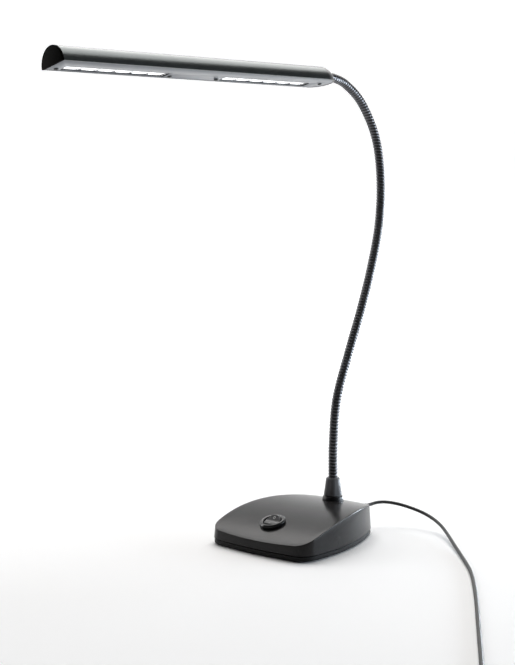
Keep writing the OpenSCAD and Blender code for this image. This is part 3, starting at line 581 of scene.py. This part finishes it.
def buildSwitch():
    s = switchSizes
    hole, rim, top, deep, radius = s["bore"], s["bezel"], s["rise"], s["deep"], s["rocker"]
    housing = turned([(0, -deep, 0), (s["barrel"], -deep, 0.6), (s["barrel"], 0, 0.1), (rim, 0, 0.1),
                      (rim + 0.1, top - 1.3, 0.6), (rim - 1.3, top, 0.7), (hole + 0.9, top - 0.15, 0.4),
                      (hole, top - 0.9, 0.4), (hole, s["floor"] - deep, 0.3), (0, s["floor"] - deep, 0)], 96)
    settle(meshPiece("switchHousing", housing, "switchPlastic", switchMatrix), "base", "switch_plastic",
           "switch_housing")

    def faceHeight(y):
        return s["hollow"] + s["dish"] * y * y

    # the rocker's rim is where its dished face meets a ball round its pin
    rims = []
    for turn in turnsRound(96):
        r = radius
        for _ in range(20):
            r = sqrt(radius * radius - faceHeight(r * sin(turn)) ** 2)
        rims.append((r, turn))
    rings = []
    for share in (0.02, 0.15, 0.3, 0.45, 0.6, 0.72, 0.82, 0.9, 0.95):
        rings.append([(*polar(r * share, t), faceHeight(r * share * sin(t))) for r, t in rims])
    for share, fall in ((0.975, 0.06), (0.995, 0.2), (1.008, 0.45)):
        rings.append([(*polar(r * share, t), faceHeight(r * sin(t)) - fall) for r, t in rims])
    for k in range(7):
        heights = [((faceHeight(r * sin(t)) - 0.8) * (1 - k / 6) - s["drop"] * k / 6, t) for r, t in rims]
        rings.append([(*polar(sqrt(radius ** 2 - h * h), t), h) for h, t in heights])
    pose = switchMatrix @ moveBy((0, 0, s["pivot"])) @ turnBy(radians(s["tilt"]), 4, "X")
    settle(meshPiece("switchRocker", loft(rings), "rockerPlastic", pose, 50), "rocker", "rocker_plastic",
           "switch_rocker")

    place, proud, inner, outer = (markSizes[k] for k in ("place", "proud", "ringInner", "ringOuter"))
    w, h = markSizes["barWide"] / 2, markSizes["barLong"] / 2
    ring = [[(*polar(r, turn), z) for turn in turnsRound(40)]
            for r, z in ((inner, 0), (outer, 0), (outer, proud), (inner, proud), (inner, 0))]
    bar = [[(-w, -h, z), (w, -h, z), (w, h, z), (-w, h, z)] for z in (0, proud)]
    lean, height = atan(2 * s["dish"] * place), faceHeight(place) + 0.1
    for name, form, side in (("rockerMarkOff", loft(ring, False), 1), ("rockerMarkOn", loft(bar), -1)):
        half = pose @ moveBy((0, side * place, height)) @ turnBy(side * lean, 4, "X")
        settle(meshPiece(name, form, "markWhite", half), "rocker", "rocker_plastic")


buildSwitch()
print("switch built")


# ---- neck foot ----
def buildNeckFoot():
    bore, flange, rise = neckSizes["bore"], neckSizes["flange"], neckSizes["flangeRise"]
    foot = neckSizes["collarFoot"] / 2 - 1.2
    ring = turned([(bore, 0, 0), (flange, 0, 0.2), (flange, neckSizes["flangeWall"], 0.3),
                   (neckSizes["flangeTop"], rise, 0.25), (foot, rise, 0), (foot, rise + 1, 0),
                   (bore, rise + 1, 0), (bore, 0, 0)], 96)
    settle(meshPiece("neckFlange", ring, "flangeMetal", seatMatrix), "base", "flange_metal", "neck_flange")
    easedCopy("neck_collar", "neckCollar", "collarMetal", "collar_metal", 0.35, 3, 14, 24)


buildNeckFoot()
print("neck foot built")

# ---- hose ----
hoseSizes = {"crest": 4.4, "groove": 3.65, "ribs": 153, "sides": 32, "ringsPerRib": 12, "stretches": 17,
             "inCollar": 2, "inHead": 7}
# bends of the neck, from the collar's mouth
neckBends = ((-1.7, 7.5, 74), (-4.3, 29, 116), (-7.4, 53.5, 158), (-11, 75.5, 199), (-15.2, 94.5, 243),
             (-20.2, 104.5, 288), (-25.6, 103.2, 331), (-30.2, 85, 365.5))
headTurn = {"yaw": 7.6, "fall": 2.2, "roll": 8.5}

collarFoot = seatHeight + neckSizes["flangeRise"] + 1
collarMouth = Vector((0, neckBack, collarFoot + neckSizes["collarRise"]))
yawTurn, fallTurn = radians(headTurn["yaw"]), radians(headTurn["fall"])
headDirection = Vector((sin(yawTurn) * cos(fallTurn), cos(yawTurn) * cos(fallTurn), sin(fallTurn)))
ferruleMouth = Vector((-30.8, neckBack + 32.6, collarMouth.z + 386.6))
neckKnots = [Vector((0, neckBack, collarFoot + hoseSizes["inCollar"])), collarMouth,
             Vector((0, neckBack + 0.3, collarMouth.z + 33))]
neckKnots += [collarMouth + Vector(bend) for bend in neckBends]
neckKnots += [ferruleMouth + Vector((-0.4, 26, -4.2)), ferruleMouth + headDirection * 3,
              ferruleMouth - headDirection * hoseSizes["inHead"]]


def curveThrough(knots, parts):
    line = []
    for i in range(len(knots) - 1):
        b, c = knots[i], knots[i + 1]
        a = knots[i - 1] if i else 2 * b - c
        d = knots[i + 2] if i + 2 < len(knots) else 2 * c - b
        length = (c - b).length
        ta, tb = (c - a).normalized() * length, (d - b).normalized() * length
        for k in range(parts):
            t = k / parts
            line.append(b * (2 * t ** 3 - 3 * t * t + 1) + ta * (t ** 3 - 2 * t * t + t)
                        + c * (3 * t * t - 2 * t ** 3) + tb * (t ** 3 - t * t))
    return line + [knots[-1]]


def runningLengths(line):
    total, lengths = 0, [0]
    for before, after in zip(line, line[1:]):
        total += (after - before).length
        lengths.append(total)
    return lengths


neckLine = curveThrough(neckKnots, 12)
neckLengths = runningLengths(neckLine)
neckTotal = neckLengths[-1]


def neckAt(s):
    for i in range(1, len(neckLengths)):
        if neckLengths[i] >= s:
            share = (s - neckLengths[i - 1]) / (neckLengths[i] - neckLengths[i - 1])
            return neckLine[i - 1].lerp(neckLine[i], share)
    return neckLine[-1]


def lineObject(name, points):
    data = bpy.data.curves.new(name, "CURVE")
    data.dimensions = "3D"
    spline = data.splines.new("POLY")
    spline.points.add(len(points) - 1)
    for point, place in zip(spline.points, points):
        point.co = (*[c * mm for c in place], 1)
    return linked(name, data)


def newTree(name, inputs):
    tree = bpy.data.node_groups.new(name, "GeometryNodeTree")
    for label, kind in {"Geometry": "Geometry", **inputs}.items():
        tree.interface.new_socket(name=label, in_out="INPUT", socket_type="NodeSocket" + kind)
    tree.interface.new_socket(name="Geometry", in_out="OUTPUT", socket_type="NodeSocketGeometry")
    kit = NodeKit(tree)
    entry = tree.nodes.new("NodeGroupInput")
    kit.exit = tree.nodes.new("NodeGroupOutput")
    kit.given = lambda label: Wire(kit, entry, label)
    return kit


def closeTree(kit, geometry):
    real = kit.add("GeometryNodeRealizeInstances", {}, {"Geometry": geometry})
    done = kit.add("GeometryNodeSetMaterial", {}, {"Geometry": real, "Material": kit.given("Finish")})
    kit.tree.links.new(done.socket, kit.exit.inputs["Geometry"])
    return kit.tree


def growTree(piece, tree, values):
    modifier = piece.modifiers.new("grow", "NODES")
    modifier.node_group = tree
    for item in tree.interface.items_tree:
        if item.in_out == "INPUT" and item.name in values:
            modifier[item.identifier] = values[item.name]
    bakeModifiers(piece)


# A wound strip: a tube along the line whose radius follows a helix of ribs
def hoseTree():
    kit = newTree("ribbedHose", {"Line": "Object", "From": "Float", "To": "Float", "Crest": "Float",
                                 "Groove": "Float", "Pitch": "Float", "Rings": "Int", "Sides": "Int",
                                 "Finish": "Material"})
    given = kit.given

    def named(label, kind="FLOAT_VECTOR"):
        return kit.add("GeometryNodeInputNamedAttribute", {"data_type": kind}, {"Name": label})

    def store(geometry, label, value, kind="FLOAT_VECTOR"):
        return kit.add("GeometryNodeStoreNamedAttribute", {"data_type": kind, "domain": "POINT"},
                       {"Geometry": geometry, "Name": label, "Value": value})

    def vector(operation, first, second, output=0):
        return kit.add("ShaderNodeVectorMath", {"operation": operation}, {0: first, 1: second}, output)

    info = kit.add("GeometryNodeObjectInfo", {"transform_space": "ORIGINAL"}, {"Object": given("Line")},
                   "Geometry")
    cut = kit.add("GeometryNodeTrimCurve", {"mode": "LENGTH"},
                  {"Curve": info, 4: given("From"), 5: given("To")})
    even = kit.add("GeometryNodeResampleCurve", {"mode": "COUNT"}, {"Curve": cut, "Count": given("Rings")})
    along = kit.add("GeometryNodeSplineParameter", output="Length") + given("From")
    kept = store(even, "along", along, "FLOAT")
    kept = store(kept, "middle", kit.add("GeometryNodeInputPosition"))
    kept = store(kept, "heading", kit.add("GeometryNodeInputTangent"))
    circle = kit.add("GeometryNodeCurvePrimitiveCircle", {"mode": "RADIUS"},
                     {"Resolution": given("Sides"), "Radius": given("Crest")})
    tube = kit.add("GeometryNodeCurveToMesh", {}, {"Curve": kept, "Profile Curve": circle,
                                                   "Fill Caps": False})

    middle, heading = named("middle"), named("heading")
    offset = vector("SUBTRACT", kit.add("GeometryNodeInputPosition"), middle)
    across = vector("CROSS_PRODUCT", heading, (1, 0, 0))
    second = vector("CROSS_PRODUCT", across, heading)
    turn = offset.maths("ARCTAN2", vector("DOT_PRODUCT", offset, across, "Value"),
                        vector("DOT_PRODUCT", offset, second, "Value"))
    phase = named("along", "FLOAT") / given("Pitch") + turn / (2 * pi)
    wave = phase.maths("PINGPONG", phase, 0.5) * 2
    crest = (wave * (2 - wave)) ** 0.5
    radius = given("Groove") + (given("Crest") - given("Groove")) * crest
    outward = kit.add("ShaderNodeVectorMath", {"operation": "NORMALIZE"}, {0: offset})
    scaled = kit.add("ShaderNodeVectorMath", {"operation": "SCALE"}, {0: outward, "Scale": radius})
    moved = kit.add("GeometryNodeSetPosition", {}, {"Geometry": tube,
                                                    "Position": vector("ADD", middle, scaled)})
    kept = store(moved, "crest", crest, "FLOAT")
    for label in ("middle", "heading", "along"):
        kept = kit.add("GeometryNodeRemoveAttribute", {}, {"Geometry": kept, "Name": label})
    return closeTree(kit, kit.add("GeometryNodeSetShadeSmooth", {}, {"Geometry": kept}))


# One length of hose across each joint, from the middle of one stretch to the middle of the next
def buildHose():
    line, tree, last = lineObject("neckLine", neckLine), hoseTree(), hoseSizes["stretches"]
    span, pitch = neckTotal / last, neckTotal / hoseSizes["ribs"]
    for k in range(1, last):
        middles = (k - 0.5) * span, (k + 0.5) * span
        start, end = 0 if k == 1 else middles[0], neckTotal if k == last - 1 else middles[1]
        name = "hose_%02d_%02d" % (k, k + 1)
        piece = linked(name, bpy.data.meshes.new(name))
        growTree(piece, tree, {
            "Line": line, "From": start * mm, "To": end * mm, "Crest": hoseSizes["crest"] * mm,
            "Groove": hoseSizes["groove"] * mm, "Pitch": pitch * mm, "Sides": hoseSizes["sides"],
            "Rings": int((end - start) / pitch * hoseSizes["ringsPerRib"]), "Finish": finishes["hoseMetal"]})
        neckAt(middles[0]) * mm
        neckAt(middles[1]) * mm
        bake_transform(piece)
        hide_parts("hose_%02d" % k, *(["hose_17"] if k == last - 1 else []))
    bpy.data.objects.remove(line)


buildHose()
print("hose built")

# ---- head ----
headSizes = {"radius": 16.1, "cap": 2, "profile": 297, "wall": 1.5, "hoseHeight": 7, "ferruleOut": 1.6,
             "ferruleLong": 8.6, "ferrule": 5.2, "lip": 3.2, "plateLow": 0.1, "plate": 1.5, "plateGap": 0.2,
             "windowX": -7.2, "window": (11, 106), "windowAt": (15, 184), "windowCorner": 1.6, "ledPitch": 17,
             "reflector": 3.2, "cupFloor": 2.8, "cupMouth": 8, "screwX": -9.5}
windowWide, windowLong = headSizes["window"]
plateTop = headSizes["plateLow"] + headSizes["plate"]
domeAt = headSizes["cap"] + headSizes["profile"]
tipAt = domeAt + headSizes["radius"]
headMatrix = (moveBy(ferruleMouth) @ turnBy(-yawTurn, 4, "Z") @ turnBy(fallTurn, 4, "X")
              @ turnBy(-radians(headTurn["roll"]), 4, "Y")
              @ moveBy((0, -tipAt - headSizes["ferruleOut"], -headSizes["hoseHeight"])))


def halfRound(radius, low, steps=64):
    first = asin(low / radius)
    return [polar(radius, first + (pi - 2 * first) * k / steps) for k in range(steps + 1)]


def quarterBall(radius, across=48, back=24):
    rows = [[pi * k / across for k in range(across + 1)], [pi / 2 * k / back for k in range(back + 1)]]
    return [[(radius * cos(a) * cos(b), domeAt + radius * sin(b), radius * sin(a) * cos(b)) for a in rows[0]]
            for b in rows[1]]


def buildProfile():
    s = headSizes
    radius, wall = s["radius"], s["wall"]
    foot = [(-radius + 0.35, 0), (-radius + wall - 0.2, 0)]
    section = halfRound(radius, 0.35) + foot + list(reversed(halfRound(radius - wall, 0.25)))
    section += [(-x, z) for x, z in reversed(foot)]
    form = loft([[(x, y, z) for x, z in section] for y in (s["cap"] + 0.08, domeAt - 0.1)])
    settle(meshPiece("headProfile", form, "profileMetal", headMatrix, 30), "head", "profile_aluminium",
           "head_profile")


# Front cap, with an eased rim
def buildFrontCap():
    s = headSizes
    rings = []
    for y, grow, low in ((0, -0.6, 0.25), (0.15, -0.2, 0.25), (0.6, 0.1, 0), (s["cap"], 0.15, 0)):
        section = halfRound(s["radius"] + grow, 0.02) + [(0, 0)]
        rings.append([(x, y, max(z, low)) for x, z in section])
    settle(meshPiece("headFrontCap", loft(rings), "capPlastic", headMatrix), "head", "front_cap_plastic",
           "head_front_cap")


# Rear end: a hollow quarter ball with a throat, and in it a short sleeve that the hose runs into
def buildDome():
    s = headSizes
    outer = quarterBall(s["radius"])
    wide, rows = len(outer[0]), len(outer)
    points, faces = loft(outer, False, False)
    inner = len(points)
    points += loft(quarterBall(s["radius"] - s["wall"]), False, False)[0]
    faces += [tuple(inner + v for v in reversed(face)) for face in faces]
    faces += [(k + 1, k, inner + k, inner + k + 1) for k in range(wide - 1)]
    for i in range(rows - 1):
        a, b = i * wide, (i + 1) * wide
        c, d = a + wide - 1, b + wide - 1
        faces += [(a, b, inner + b, inner + a), (d, c, inner + c, inner + d)]
    dome = meshPiece("headDome", (points, faces), "domePlastic", headMatrix, 35)
    long, sleeve = s["ferruleLong"], s["ferrule"]
    throat = headMatrix @ moveBy((0, tipAt + s["ferruleOut"] - long, s["hoseHeight"]))
    throat = throat @ turnBy(-pi / 2, 4, "X")
    cutWith(dome, "domePlastic", [(plug(sleeve + 0.12, -2, 20, 64), throat)], 35)
    settle(dome, "head", "neck_cap_plastic", "head_neck_cap")

    lip = -s["lip"]
    form = turned([(4.6, 1.6, 0), (4.6, long, 0.15), (sleeve - 0.3, long, 0.3), (sleeve, long - 0.7, 0.2),
                   (sleeve, 0, 0), (4, 0, 0), (4, lip, 0.2), (2.3, lip, 0), (2.3, 1.6, 0), (4.6, 1.6, 0)], 64)
    settle(meshPiece("hoseFerrule", form, "ferruleMetal", throat), "head", "ferrule_metal", "hose_ferrule")


buildProfile()
buildFrontCap()
buildDome()
print("head built")


def slab(outline, low, high):
    return loft([[(x, y, z) for x, y in outline] for z in (low, high)])


def buildPlate():
    s = headSizes
    radius, steps = s["radius"] - s["wall"] - s["plateGap"], 40
    outline = [(-radius, s["cap"] + 0.2), (radius, s["cap"] + 0.2)]
    for k in range(steps + 1):
        x, y = polar(radius, pi * k / steps)
        outline.append((x, domeAt + y))
    plate = meshPiece("lightPlate", slab(outline, s["plateLow"], plateTop), "plateMetal", headMatrix, 30)
    forms, corner = [], s["windowCorner"]
    for start in s["windowAt"]:
        ring = []
        for sx, sy, first in ((1, -1, -90), (1, 1, 0), (-1, 1, 90), (-1, -1, 180)):
            for k in range(7):
                x, y = polar(corner, radians(first + 90 * k / 6))
                ring.append((s["windowX"] + sx * (windowWide / 2 - corner) + x,
                             start + windowLong / 2 + sy * (windowLong / 2 - corner) + y))
        forms.append((slab(ring, s["plateLow"] - 1, plateTop + 1), headMatrix))
    cutWith(plate, "cutEdge", forms)
    easeEdges(plate, 0.25, 2, 40, 30)
    settle(plate, "head", "plate_metal", "light_plate")


# Reflector: round cups with straight side walls, one for each lamp chip, in a land coloured dark as painted
# shade
def buildReflector(start, name, nodeName, across=16, along=200):
    s = headSizes
    top, middle = plateTop + 0.05, start + windowLong / 2
    half, reach, slope = windowWide / 2 + 0.3, windowLong / 2 + 0.4, s["cupMouth"] - s["cupFloor"]
    rows, cups = [], []
    for i in range(along + 1):
        y = -reach + 2 * reach * i / along
        nearest = max(-2.5, min(2.5, round(y / s["ledPitch"] - 0.5) + 0.5))
        row = []
        for k in range(across + 1):
            x = -half + 2 * half * k / across
            away = hypot(x, y - nearest * s["ledPitch"])
            row.append((x, s["reflector"] * (1 - min(1, max(0, away - s["cupFloor"]) / slope))))
        # a foot beside each end of the row, marked in or out of a cup like its neighbour, so its painted shade
        # and glow match
        cups += [float(depth > 0.02) for x, depth in row[:1] + row + row[-1:]]
        row = [(row[0][0], 0)] + row + [(row[-1][0], 0)]
        rows.append([(s["windowX"] + x, middle + y, top + depth) for x, depth in row])
    points, faces = loft(rows, False, False)
    tray = meshPiece(name, (points, faces), "reflectorWhite", headMatrix, 60)
    solid = tray.modifiers.new("thickness", "SOLIDIFY")
    solid.thickness = 0.3 * mm
    solid.offset = 0

    def spot(place):
        return tuple(round(c, 7) for c in place)

    spots = {spot(headMatrix @ Vector(p) * mm): cup for p, cup in zip(points, cups)}
    # cup is 1 inside a cup and 0 on the land, which the finish colours dark as painted shade
    inCup = tray.data.attributes.new("cup", "FLOAT", "POINT")
    for vertex, value in zip(tray.data.vertices, inCup.data):
        value.value = spots.get(spot(vertex.co), 1.0)
    bakeModifiers(tray, 60)
    settle(tray, "head", "reflector_plastic", nodeName)


buildPlate()
buildReflector(headSizes["windowAt"][0], "reflectorFront", "reflector_front")
buildReflector(headSizes["windowAt"][1], "reflectorRear", "reflector_rear")
print("light windows built")


# ---- screws, placed by geometry nodes ----
plateScrew = {"head": 2.1, "rise": 0.9, "shank": 1.1, "length": 5, "socket": 1.1}
trayScrew = {"head": 2.8, "rise": 1.8, "shank": 1.45, "length": 7.6, "socket": 1.5}


def screwTree():
    kit = newTree("screwCopies", {"Screw": "Object", "Finish": "Material"})
    info = kit.add("GeometryNodeObjectInfo", {"transform_space": "ORIGINAL"},
                   {"Object": kit.given("Screw"), "As Instance": True}, "Geometry")
    turn = kit.add("GeometryNodeInputNamedAttribute", {"data_type": "FLOAT_VECTOR"}, {"Name": "turn"})
    copies = kit.add("GeometryNodeInstanceOnPoints", {}, {
        "Points": kit.given("Geometry"), "Instance": info,
        "Rotation": kit.add("FunctionNodeEulerToRotation", {}, {0: turn})})
    return closeTree(kit, copies)


# A pan head with a cross recess, its shank along +Z
def screwShape(head, rise, shank, length, socket):
    body = meshPiece("screwShape", turned([
        (0, -rise, 0), (head * 0.8, -rise, 0.3), (head, -rise * 0.45, 0.3), (head, 0, 0.05), (shank, 0, 0),
        (shank, length, 0.2), (0, length, 0)], 28, 2), "screwSteel")
    w = socket * 0.28
    bar = slab([(-socket, -w), (socket, -w), (socket, w), (-socket, w)], -rise - 1, -rise + 0.5)
    cutWith(body, "screwSteel", [(bar, turnBy(turn, 4, "Z")) for turn in (0, pi / 2)], 35)
    return body


def placeScrews(name, sizes, spots, matrix, finish, *place):
    shape = screwShape(**sizes)
    mesh = bpy.data.meshes.new(name)
    mesh.from_pydata([(matrix @ Vector(spot)) * mm for spot in spots], [], [])
    turn = mesh.attributes.new("turn", "FLOAT_VECTOR", "POINT")
    for i in range(len(spots)):
        spin = turnBy(0.7 * i + 0.3, 4, "Z")
        turn.data[i].vector = (matrix.to_3x3().to_4x4() @ spin).to_euler()[:]
    piece = linked(name, mesh)
    growTree(piece, copyTree, {"Screw": shape, "Finish": finishes[finish]})
    bpy.data.objects.remove(shape)
    settle(piece, *place)


copyTree = screwTree()
firstWindow, secondWindow = headSizes["windowAt"]
plateSpots = [(headSizes["screwX"], y, 0.1) for y in (firstWindow - 5, firstWindow + windowLong + 5,
                                                      secondWindow - 5)] + [(-1.5, domeAt + 3.8, 0.1)]
traySpots = [(side * (baseSizes["width"] / 2 - inward), depth, baseSizes["trayFloor"] + 1.9)
             for side in (1, -1)
             for inward, depth in ((16, 20.7 - baseSizes["front"]), (34, baseSizes["rear"] - 24))]
placeScrews("plateScrews", plateScrew, plateSpots, headMatrix, "darkScrew", "head", "plate_screw_steel",
            "plate_screws")
placeScrews("trayScrews", trayScrew, traySpots, Matrix.Identity(4), "screwSteel", "base", "screw_steel",
            "tray_screws")
print("screws placed")

# ---- cord, its strain relief, coil, tie and adapter ----
cordSizes = {"diameter": 3.2, "step": 3.75, "turns": 10.19, "layers": 4, "coilCentre": (320, -262),
             "meanRadius": 19.2, "start": 32.7, "tie": 0.8, "tieTurn": 200, "tail": 14, "inAdapter": 40}
glandSizes = {"x": 16, "z": 22, "tail": 8, "flange": 2.5, "flangeLong": 1.2, "neck": 1.9, "sunk": 0.4}
tieSizes = {"room": 1.8, "corner": 2.2, "thick": 0.7, "half": 4}
cordRoute = [
    (18.6, 82.8, 22.6), (19.9, 86.8, 23.2), (22.3, 91, 23.6), (26, 95, 23.6),
    (31, 98.4, 23.1), (36.6, 101, 22.3), (43, 103.4, 21), (49.4, 105.2, 19.5),
    (56.6, 106.5, 17.7), (64, 107, 15.7), (72, 105.8, 13.5), (80, 103, 11.3),
    (87.5, 98.8, 9.4), (95, 93, 7.7), (103, 85.6, 6.2), (111, 77.5, 5.1),
    (119, 69, 4.2), (128, 59.4, 3.3), (137, 49.8, 2.6), (146, 40, 2), (155, 30, 1.7),
    (164, 19.6, 1.6), (173, 8.8, 1.6), (181.5, -2.2, 1.6), (189.5, -13.4, 1.6),
    (197.5, -25, 1.6), (205.5, -37, 1.6), (213.5, -49.2, 1.6), (221.5, -61.6, 1.6), (229.5, -74.2, 1.6)]
cordRoute += [(237.5 + 8 * k, -87 - 12.8 * k, 1.6) for k in range(9)]  # straight along the floor
cordRoute += [(309.5, -202.2, 1.7), (317, -214, 1.9), (324.5, -225.8, 2.2), (331, -236, 2.5)]

glandX, glandZ = glandSizes["x"], glandSizes["z"]
wallPoint = Vector((glandX, rearCentre.y + sqrt(rearRadius ** 2 - glandX ** 2))) * draftAt(glandZ)
glandHeading = Vector((glandX, wallPoint.y - rearCentre.y)).normalized()
cordStart = Vector((*(wallPoint + glandHeading * (glandSizes["tail"] - glandSizes["sunk"] + 0.2)), glandZ))
coilLow = cordSizes["diameter"] / 2 + cordSizes["tie"] + 0.1
layerTurns = cordSizes["turns"] / cordSizes["layers"]


# A point of the coil after u turns: each layer winds in or out, then steps up to the next
def coilPoint(u):
    layer, t = divmod(u / layerTurns, 1)
    radius = cordSizes["meanRadius"] + cordSizes["step"] * layerTurns * ((t if layer % 2 else 1 - t) - 0.5)
    climbs = sum(max(0, min(1, (u - k * layerTurns + 0.25) / 0.5)) for k in range(1, cordSizes["layers"]))
    x, y = polar(radius, radians(cordSizes["start"] - 360 * u))
    return Vector((cordSizes["coilCentre"][0] + x, cordSizes["coilCentre"][1] + y,
                   coilLow + cordSizes["step"] * climbs))


coilSteps = round(cordSizes["turns"] * 24)
coilLine = [coilPoint(cordSizes["turns"] * k / coilSteps) for k in range(coilSteps + 1)]
coilIn = (coilLine[1] - coilLine[0]).normalized()
outTurn = radians(cordSizes["start"] - 360 * cordSizes["turns"])
coilOut = Vector((sin(outTurn), -cos(outTurn), 0))
coilEnd = coilLine[-1] + coilOut * cordSizes["tail"]
leadIn = coilLine[0] - Vector((coilIn.x, coilIn.y, 0)) * cordSizes["diameter"]
cordKnots = [cordStart] + [Vector(p) for p in cordRoute] + [leadIn] + coilLine
cordPath = curveThrough(cordKnots + [coilEnd, coilEnd + coilOut * cordSizes["inAdapter"]], 3)
cordLength = runningLengths(cordPath)[-1]


def tubeAlong(path, radius, sides):
    rings = []
    for before, place, after in zip(path[:1] + path, path, path[1:] + path[-1:]):
        heading = (after - before).normalized()
        u = heading.cross(Vector((0, 0, 1))).normalized()
        v = heading.cross(u)
        rings.append([tuple(place + radius * (cos(turn) * u + sin(turn) * v)) for turn in turnsRound(sides)])
    return loft(rings)


# Strain relief: a collar against the cover and a tapered tail with grooves
def buildRelief():
    g = glandSizes
    neck, flange, foot, end = g["neck"], g["flange"], g["flangeLong"], g["tail"]
    corners = [(0, -2.8, 0), (neck, -2.8, 0.1), (neck, 0, 0), (flange, 0, 0.1), (flange, foot, 0.35),
               (2.3, foot, 0)]
    for k in range(4):
        z = foot + 1.2 + 1.35 * k
        r = 2.7 - 0.2 * k
        corners += [(r, z, 0.12), (r - 0.35, z + 0.15, 0.1), (r - 0.37, z + 0.6, 0.1),
                    (r - 0.08, z + 0.75, 0.12)]
    corners += [(1.86, end, 0.2), (1.6, end, 0), (0, end, 0)]
    place = (moveBy((wallPoint.x, wallPoint.y, glandZ)) @ turnBy(headingOf(glandHeading), 4, "Z")
             @ turnBy(pi / 2, 4, "Y") @ moveBy((0, 0, -g["sunk"])))
    settle(meshPiece("cordRelief", turned(corners, 40, 3), "glandRubber", place), "base", "gland_rubber",
           "cord_gland")


# The tie: a strap bent round the coil's section
def buildTie():
    room, corner, thick, half = (tieSizes[k] for k in ("room", "corner", "thick", "half"))
    inner = cordSizes["meanRadius"] - cordSizes["step"] * layerTurns / 2 - room
    outer = cordSizes["meanRadius"] + cordSizes["step"] * layerTurns / 2 + room
    low, high = coilLow - 1.7, coilLow + (cordSizes["layers"] - 1) * cordSizes["step"] + room
    rings = []
    for x, z, first in ((inner + corner, low + corner, 180), (outer - corner, low + corner, 270),
                        (outer - corner, high - corner, 0), (inner + corner, high - corner, 90)):
        for k in range(6):
            a = radians(first + 90 * k / 5)
            rings.append([(x + r * cos(a), y, z + r * sin(a))
                          for r, y in ((corner, -half), (corner + thick, 0.1 - half),
                                       (corner + thick, half - 0.1), (corner, half))])
    turn = moveBy((*cordSizes["coilCentre"], 0)) @ turnBy(radians(cordSizes["tieTurn"]), 4, "Z")
    tie = meshPiece("cordTie", loft(rings + rings[:1], False), "tieFabric", turn, 50)
    settle(tie, "base", "tie_plastic", "cord_tie")
    return tie


def buildCord():
    tube = tubeAlong(cordPath, cordSizes["diameter"] / 2, 12)
    piece = meshPiece("powerCord", tube, "cordJacket", smooth=60)
    settle(piece, "base", "cord_rubber", "power_cord", "cord_coil")
    buildRelief()
    tie = buildTie()
    case, cover, pins = (easedCopy(*values) for values in (
        ("adapter_case", "adapterCase", "adapterPlastic", "adapter_plastic", 0.5, 2, 40, 40),
        ("adapter_cover", "adapterCover", "adapterPlastic", "adapter_plastic", 0.5, 2, 40, 40),
        ("adapter_pins", "adapterPins", "pinSteel", "pin_steel", 0.1, 1, 60, 50)))
    [p * mm for p in cordPath]


buildCord()
print("cord built, length in millimetres:", round(cordLength))

# ---- finishes of the CAD pieces that show as they are ----
plainFinishes = {
    "padRubber": ("base_pad",), "plateSteel": ("ballast_plate",), "componentPlastic": ("board_parts",),
    "boardMask": ("control_board", "led_board_front", "led_board_rear"), "tinnedBrass": ("switch_terminals",),
    "lampChip": ("leds_front", "leds_rear"), "cordJacket": ("head_lead",),
    "screwSteel": ("board_standoffs", "rocker_pin", "neck_fitting", "neck_washer", "neck_locknut",
                   "ferrule_nut", "plate_lugs")}
for finish, nodeNames in plainFinishes.items():
    for nodeName in nodeNames:
        for slotHolder in cadNodes[nodeName].material_slots:
            slotHolder.material = finishes[finish]
print("inner pieces finished")


# ---- floor, light and background ----
studio = {"front": -4, "bend": 2.2, "bendRadius": 1.2, "height": 4, "half": 9, "sky": 0.04}
cool, warm, plain = (0.8, 0.9, 1), (1, 0.985, 0.97), grey(1)
# place, what it points at, size, power and colour
softLights = {"overhead": ((-0.5, 0.8, 2), (0, 0.1, 0), (2.2, 1.8), 48, warm),
              "leftFill": ((-1.4, -0.5, 0.8), (0, 0, 0.1), (0.4, 0.9), 6, plain),
              "rearRight": ((1.1, 1, 0.22), (0, 0, 0.03), (0.9, 0.4), 16, cool),
              "rearCorner": ((0.3, 1.4, 0.1), (0, 0, 0.03), (0.5, 0.16), 13, cool)}


# A floor that sweeps up behind the object, square to the camera's view
def buildBackdrop():
    bend, radius, steps = studio["bend"], studio["bendRadius"], 12
    profile = [(studio["front"], 0)]
    profile += [(bend + radius * sin(pi / 2 * k / steps), radius - radius * cos(pi / 2 * k / steps))
                for k in range(steps + 1)]
    profile.append((bend + radius, studio["height"]))
    sides = (-studio["half"], studio["half"])
    rows = [[(side, depth, height) for side in sides] for depth, height in profile]
    turn = turnBy(atan2(-cameraView["looks"][0], cameraView["looks"][1]), 4, "Z") @ Matrix.Scale(1000, 4)
    meshPiece("floor", loft(rows, False, False), "paleFloor", turn, 60)


def softLight(name, place, target, size, power, colour):
    data = bpy.data.lights.new(name, "AREA")
    data.shape = "RECTANGLE"
    data.size, data.size_y = size
    data.energy = power
    data.color = colour
    aim(linked(name, data), place, Vector(target) - Vector(place))


buildBackdrop()
for name, values in softLights.items():
    softLight(name, *values)
scene.world = bpy.data.worlds.new("studio")
scene.world.use_nodes = True
sky = scene.world.node_tree.nodes["Background"].inputs
sky["Color"].default_value = rgb(grey(1))
sky["Strength"].default_value = studio["sky"]
print("studio lit")
